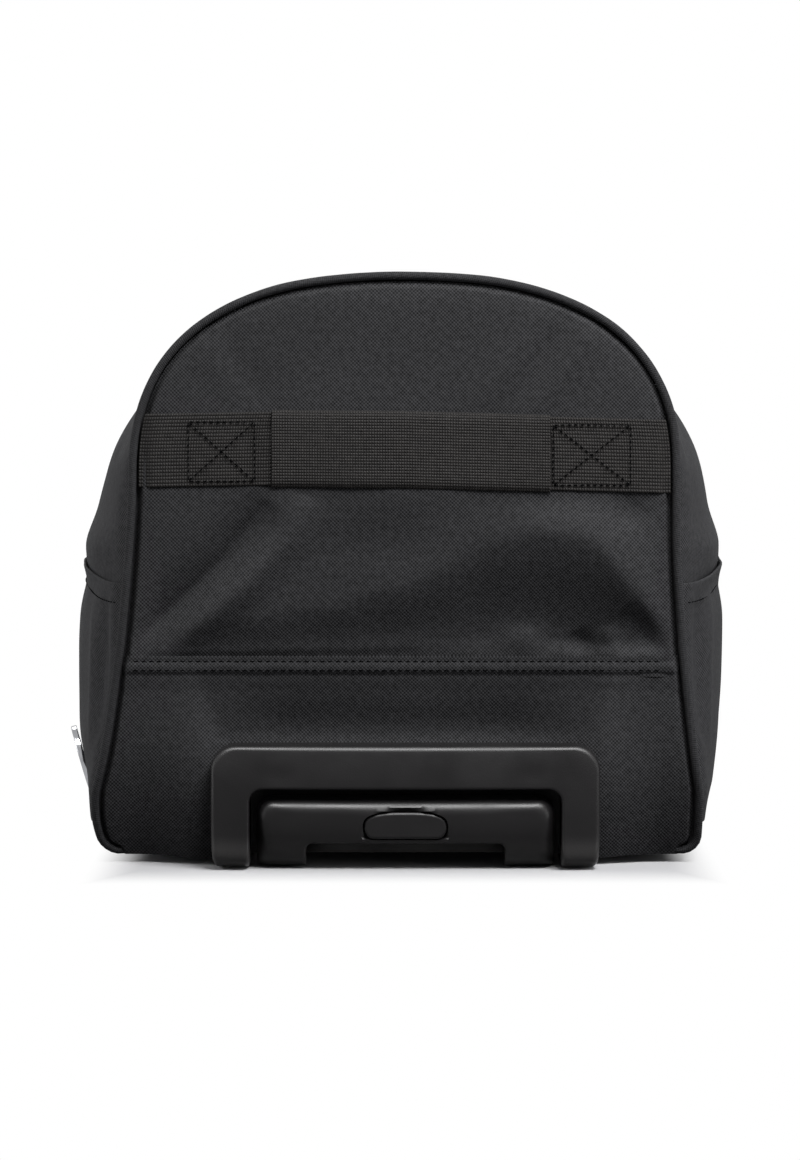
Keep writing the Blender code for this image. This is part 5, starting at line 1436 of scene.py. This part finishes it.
def button_outline(grow):
    """Closed loaf outline (x, z) of the button: arched top, flat foot with rounded ends."""
    half = 0.0215 + grow
    foot = BUTTON_Z - 0.007 - grow
    shoulder = 0.0061 + grow
    crest = 0.0079 + grow
    corner = 0.0052
    t = np.linspace(-0.5 * math.pi, 0.0, 9)[:-1]
    low = np.stack([half - corner + corner * np.cos(t), foot + shoulder + shoulder * np.sin(t)], axis=1)
    t = np.linspace(0.0, 0.5 * math.pi, 20)
    power = 2.0 / 3.0
    high = np.stack([half * np.cos(t) ** power, foot + shoulder + crest * np.sin(t) ** power], axis=1)
    right = np.concatenate([low, high])
    right[-1, 0] = 0.0
    return np.concatenate([right, right[-2::-1] * (-1.0, 1.0)])


class BAG_OT_handle(bpy.types.Operator):
    """Bezel, tray, grip, release button and telescopic tubes"""
    bl_idname = "bag.handle"
    bl_label = "Pull handle"

    def execute(self, context):
        piece = loft_piece("bezel", bezel_rings())
        dress(piece, plastic(), "bag", "moulded_plastic", "handle_bezel", angle=35.0, crisp=True)

        piece = loft_piece("grip", grip_rings())
        cut(piece, prism(button_outline(0.0005), "Y", FRONT_Y - 0.06, -0.2619))
        dress(piece, plastic(), "handle_top", "moulded_plastic", "handle_grip", angle=35.0, crisp=True)

        front = float(grip_front(BUTTON_Z)) + 0.0004
        piece = prism(button_outline(0.0), "Y", front, front + 0.010)
        piece.name = piece.data.name = "button"
        bevel(piece, 0.0018, 5, 60.0, False)
        dress(piece, plastic(), "button", "moulded_plastic", "release_button", angle=40.0, crisp=True)

        refined("handle_tray", "tray", plastic(), "moulded_plastic", 0.0005)
        for side, _ in SIDES:
            for stage in ("outer", "middle", "inner"):
                refined(stage + "_tube_" + side, stage + "_rail_" + side, anodised(), "black_tube", 0.0)
            for stage in ("outer", "middle"):
                refined(stage + "_collar_" + side, stage + "_bush_" + side, plastic(), "moulded_plastic",
                        0.0003)
        refined("tube_anchor", "rail_anchor", plastic(), "moulded_plastic", 0.0008)
        piece = refined("button_spring", "spring", steel(), "axle_steel", 0.0, angle=80.0)
        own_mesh(piece)
        return {"FINISHED"}


# Badge, base and wheels


class BAG_OT_badge(bpy.types.Operator):
    """Plain chrome plate on the left pocket: a disc with a raised rim"""
    bl_idname = "bag.badge"
    bl_label = "Badge plate"

    def execute(self, context):
        low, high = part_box("badge_plate")
        centre = (low + high) / 2.0
        y, z = centre.y, centre.z
        step = 0.004

        def seat(dy, dz):
            return Vector([float(c) for c in pocket_point(-1.0, y + dy, z + dz)])

        normal = (seat(step, 0.0) - seat(-step, 0.0)).cross(seat(0.0, step) - seat(0.0, -step)).normalized()
        if normal.x > 0.0:
            normal.negate()
        normal = Vector((normal.x, -0.09, normal.z)).normalized()
        face = [(0.0002, 0.0026), (0.010, 0.0027), (0.0136, 0.0024), (0.0150, 0.0026), (0.0159, 0.0032)]
        rim = [arc(0.0179, 0.0027, 0.0006, 90.0, 0.0, 4), arc(0.0179, 0.0006, 0.0006, 0.0, -90.0, 4)]
        profile = np.concatenate([face, *rim, [(0.0002, 0.0)]])
        turn = 2.0 * math.pi * np.arange(72) / 72
        rings = [[(r * math.cos(t), r * math.sin(t), h) for t in turn] for r, h in profile]
        piece = loft_piece("badge", rings)
        base = seat(0.0, 0.0) + normal * 0.0012
        piece.data.transform(Matrix.Translation(base) @ normal.to_track_quat("Z", "Y").to_matrix().to_4x4())
        dress(piece, chrome(), "bag", "chrome_plate", "badge_plate", angle=50.0)
        return {"FINISHED"}


class BAG_OT_base(bpy.types.Operator):
    """Bottom panel, base board and ball cradle"""
    bl_idname = "bag.base"
    bl_label = "Base"

    def execute(self, context):
        piece = refined("bottom_panel", "underside", board(), "polyester_fabric", 0.0005)
        points = points_of(piece)
        points[:, 1] = np.maximum(points[:, 1], SHELL_FRONT + 0.0145)
        move_points(piece, points)
        refined("base_board", "floor_board", board(), "base_board", 0.0005)
        refined("ball_cradle", "cradle", foam(), "cradle_foam", 0.003, 3, 40.0)
        return {"FINISHED"}


class BAG_OT_wheels(bpy.types.Operator):
    """Wheel housings, wheels, axles and stand feet"""
    bl_idname = "bag.wheels"
    bl_label = "Wheels"

    def execute(self, context):
        for side, _ in SIDES:
            refined("wheel_housing_" + side, "wheel_arch_" + side, plastic(), "moulded_plastic", 0.0009, 3,
                    40.0)
            refined("wheel_hub_" + side, "hub_" + side, plastic(), "moulded_plastic", 0.0005, 2, 40.0)
            refined("wheel_tyre_" + side, "tyre_" + side, rubber(), "tyre_rubber", 0.0, angle=35.0)
            refined("axle_" + side, "axle_pin_" + side, steel(), "axle_steel", 0.0, angle=35.0)
            refined("stand_foot_" + side, "foot_" + side, rubber(), "tyre_rubber", 0.0008, 3, 50.0)
        return {"FINISHED"}


# Stage


def area_light(name, place, target, size, power):
    """Rectangular soft box that faces a point."""
    bpy.ops.object.light_add(type="AREA", location=place)
    lamp = bpy.context.object
    lamp.name = name
    lamp.data.shape = "RECTANGLE"
    lamp.data.size, lamp.data.size_y = size
    lamp.data.energy = power
    lamp.rotation_euler = (Vector(target) - Vector(place)).to_track_quat("-Z", "Y").to_euler()
    return lamp


def seen_directly(tree):
    """1 for what the camera sees itself or through a mirror or glass, 0 for light thrown on the bag."""
    rays = add(tree, "ShaderNodeLightPath").outputs
    seen = add(tree, "ShaderNodeMath", {0: rays["Is Camera Ray"], 1: rays["Is Glossy Ray"]},
               operation="MAXIMUM")
    seen = add(tree, "ShaderNodeMath", {0: seen.outputs[0], 1: rays["Is Transmission Ray"]},
               operation="MAXIMUM")
    return seen.outputs[0]


def floor_paint():
    """Matt floor paint: pale with a soft shadow under the bag, fading to plain white round it."""
    mat, tree, shader = blank("painted_floor")
    seen = seen_directly(tree)
    shade = add(tree, "ShaderNodeMix", {0: seen, 6: paint("floor_shade"), 7: paint("floor")},
                data_type="RGBA")
    tree.links.new(shade.outputs[2], shader.inputs["Base Color"])
    shader.inputs["Roughness"].default_value = 0.9
    shader.inputs["Specular IOR Level"].default_value = 0.0
    place = add(tree, "ShaderNodeTexCoord").outputs["Object"]
    squeezed = add(tree, "ShaderNodeVectorMath", {0: place, 1: (1.0 / 0.150, 1.0 / 0.30, 0.0)},
                   operation="MULTIPLY")
    spread = add(tree, "ShaderNodeVectorMath", {0: squeezed.outputs[0]}, operation="ABSOLUTE")
    sides = add(tree, "ShaderNodeSeparateXYZ", {0: spread.outputs[0]})
    far = add(tree, "ShaderNodeMath", {0: sides.outputs[0], 1: sides.outputs[1]}, operation="MAXIMUM")
    sweep = add(tree, "ShaderNodeMapRange", {0: far.outputs[0], 1: 0.90, 2: 1.10},
                interpolation_type="SMOOTHSTEP")
    open_floor = add(tree, "ShaderNodeMath", {0: seen, 1: sweep.outputs[0]}, operation="MULTIPLY")
    white = add(tree, "ShaderNodeEmission", {"Color": (1.0, 1.0, 1.0, 1.0)})
    blend = add(tree, "ShaderNodeMixShader",
                {0: open_floor.outputs[0], 1: shader.outputs[0], 2: white.outputs[0]})
    tree.links.new(blend.outputs[0], tree.nodes["Material Output"].inputs["Surface"])
    return mat


# Name, place, target, size and watts of each soft box
LAMPS = (
    ("key_softbox", (0.48, -0.90, 1.12), (0.0, -0.20, 0.14), (0.8, 0.42), 24.0),
    ("highlight_strip", (0.0, -0.72, 1.25), (0.0, -0.27, 0.04), (1.4, 0.45), 110.0),
    ("left_softbox", (-1.25, -0.30, 0.40), (0.0, 0.0, 0.14), (0.9, 0.9), 11.0),
    ("right_softbox", (1.20, -0.62, 0.40), (0.0, -0.10, 0.10), (0.8, 0.8), 8.5),
    ("back_softbox", (-0.3, 1.3, 1.2), (0.0, 0.2, 0.14), (1.0, 0.6), 12.0),
)


class BAG_OT_stage(bpy.types.Operator):
    """Pale floor, soft studio light and the camera"""
    bl_idname = "bag.stage"
    bl_label = "Stage"

    def execute(self, context):
        scene = context.scene
        scene.view_settings.view_transform = "Standard"
        bpy.ops.object.select_all(action="DESELECT")
        bpy.ops.mesh.primitive_plane_add(size=2.4, location=(0.0, 0.0, -0.0004))
        floor = context.object
        floor.name = "studio_floor"
        floor.data.materials.append(floor_paint())

        world = scene.world or bpy.data.worlds.new("studio")
        scene.world = world
        world.use_nodes = True
        tree = world.node_tree
        tree.nodes.clear()
        level = add(tree, "ShaderNodeMapRange", {0: seen_directly(tree), 3: 0.10, 4: 1.0})
        glow = add(tree, "ShaderNodeBackground",
                   {"Color": (1.0, 1.0, 1.0, 1.0), "Strength": level.outputs[0]})
        add(tree, "ShaderNodeOutputWorld", {"Surface": glow.outputs[0]})

        for lamp in LAMPS:
            light = area_light(*lamp)
            # The long strip draws the highlights on rolled plastic edges, and lights nothing else
            light.visible_diffuse = light.name != "highlight_strip"

        reach, frame_high, sensor = 2.0, 0.601, 36.0
        middle = Vector((-0.0028, FRONT_Y, 0.1487))
        eye = Vector((-0.0028, FRONT_Y - reach, 0.2700))
        bpy.ops.object.camera_add(location=eye)
        camera = context.object
        camera.name = "photo_camera"
        camera.rotation_euler = (middle - eye).to_track_quat("-Z", "Y").to_euler()
        camera.data.sensor_fit = "AUTO"
        camera.data.sensor_width = sensor
        camera.data.lens = sensor * (middle - eye).length / frame_high
        scene.camera = camera
        return {"FINISHED"}


class BAG_PT_panel(bpy.types.Panel):
    """Sidebar list of the bag's pieces"""
    bl_label = "Bowling bag"
    bl_idname = "BAG_PT_panel"
    bl_space_type = "VIEW_3D"
    bl_region_type = "UI"
    bl_category = "Bag"

    def draw(self, context):
        for group in (context.scene.bag_sizes, context.scene.bag_colours):
            for key in group.__annotations__:
                self.layout.prop(group, key)
        for step in STEPS:
            self.layout.operator(step.bl_idname)


STEPS = (BAG_OT_stage, BAG_OT_front_panels, BAG_OT_haul_strap, BAG_OT_handle, BAG_OT_piping,
         BAG_OT_side_panels, BAG_OT_pockets, BAG_OT_badge, BAG_OT_rear_panel, BAG_OT_lid, BAG_OT_zip,
         BAG_OT_base, BAG_OT_wheels)
CLASSES = (BagSizes, BagColours, *STEPS, BAG_PT_panel)


def register():
    """Add the classes and the scene's settings."""
    for item in CLASSES:
        bpy.utils.register_class(item)
    bpy.types.Scene.bag_sizes = PointerProperty(type=BagSizes)
    bpy.types.Scene.bag_colours = PointerProperty(type=BagColours)


def unregister():
    """Take the settings and the classes away again."""
    del bpy.types.Scene.bag_colours
    del bpy.types.Scene.bag_sizes
    for item in reversed(CLASSES):
        bpy.utils.unregister_class(item)


def main():
    """Register the classes and build every piece in order."""
    register()
    for step in STEPS:
        group, name = step.bl_idname.split(".")
        getattr(getattr(bpy.ops, group), name)()


if __name__ == "__main__":
    main()
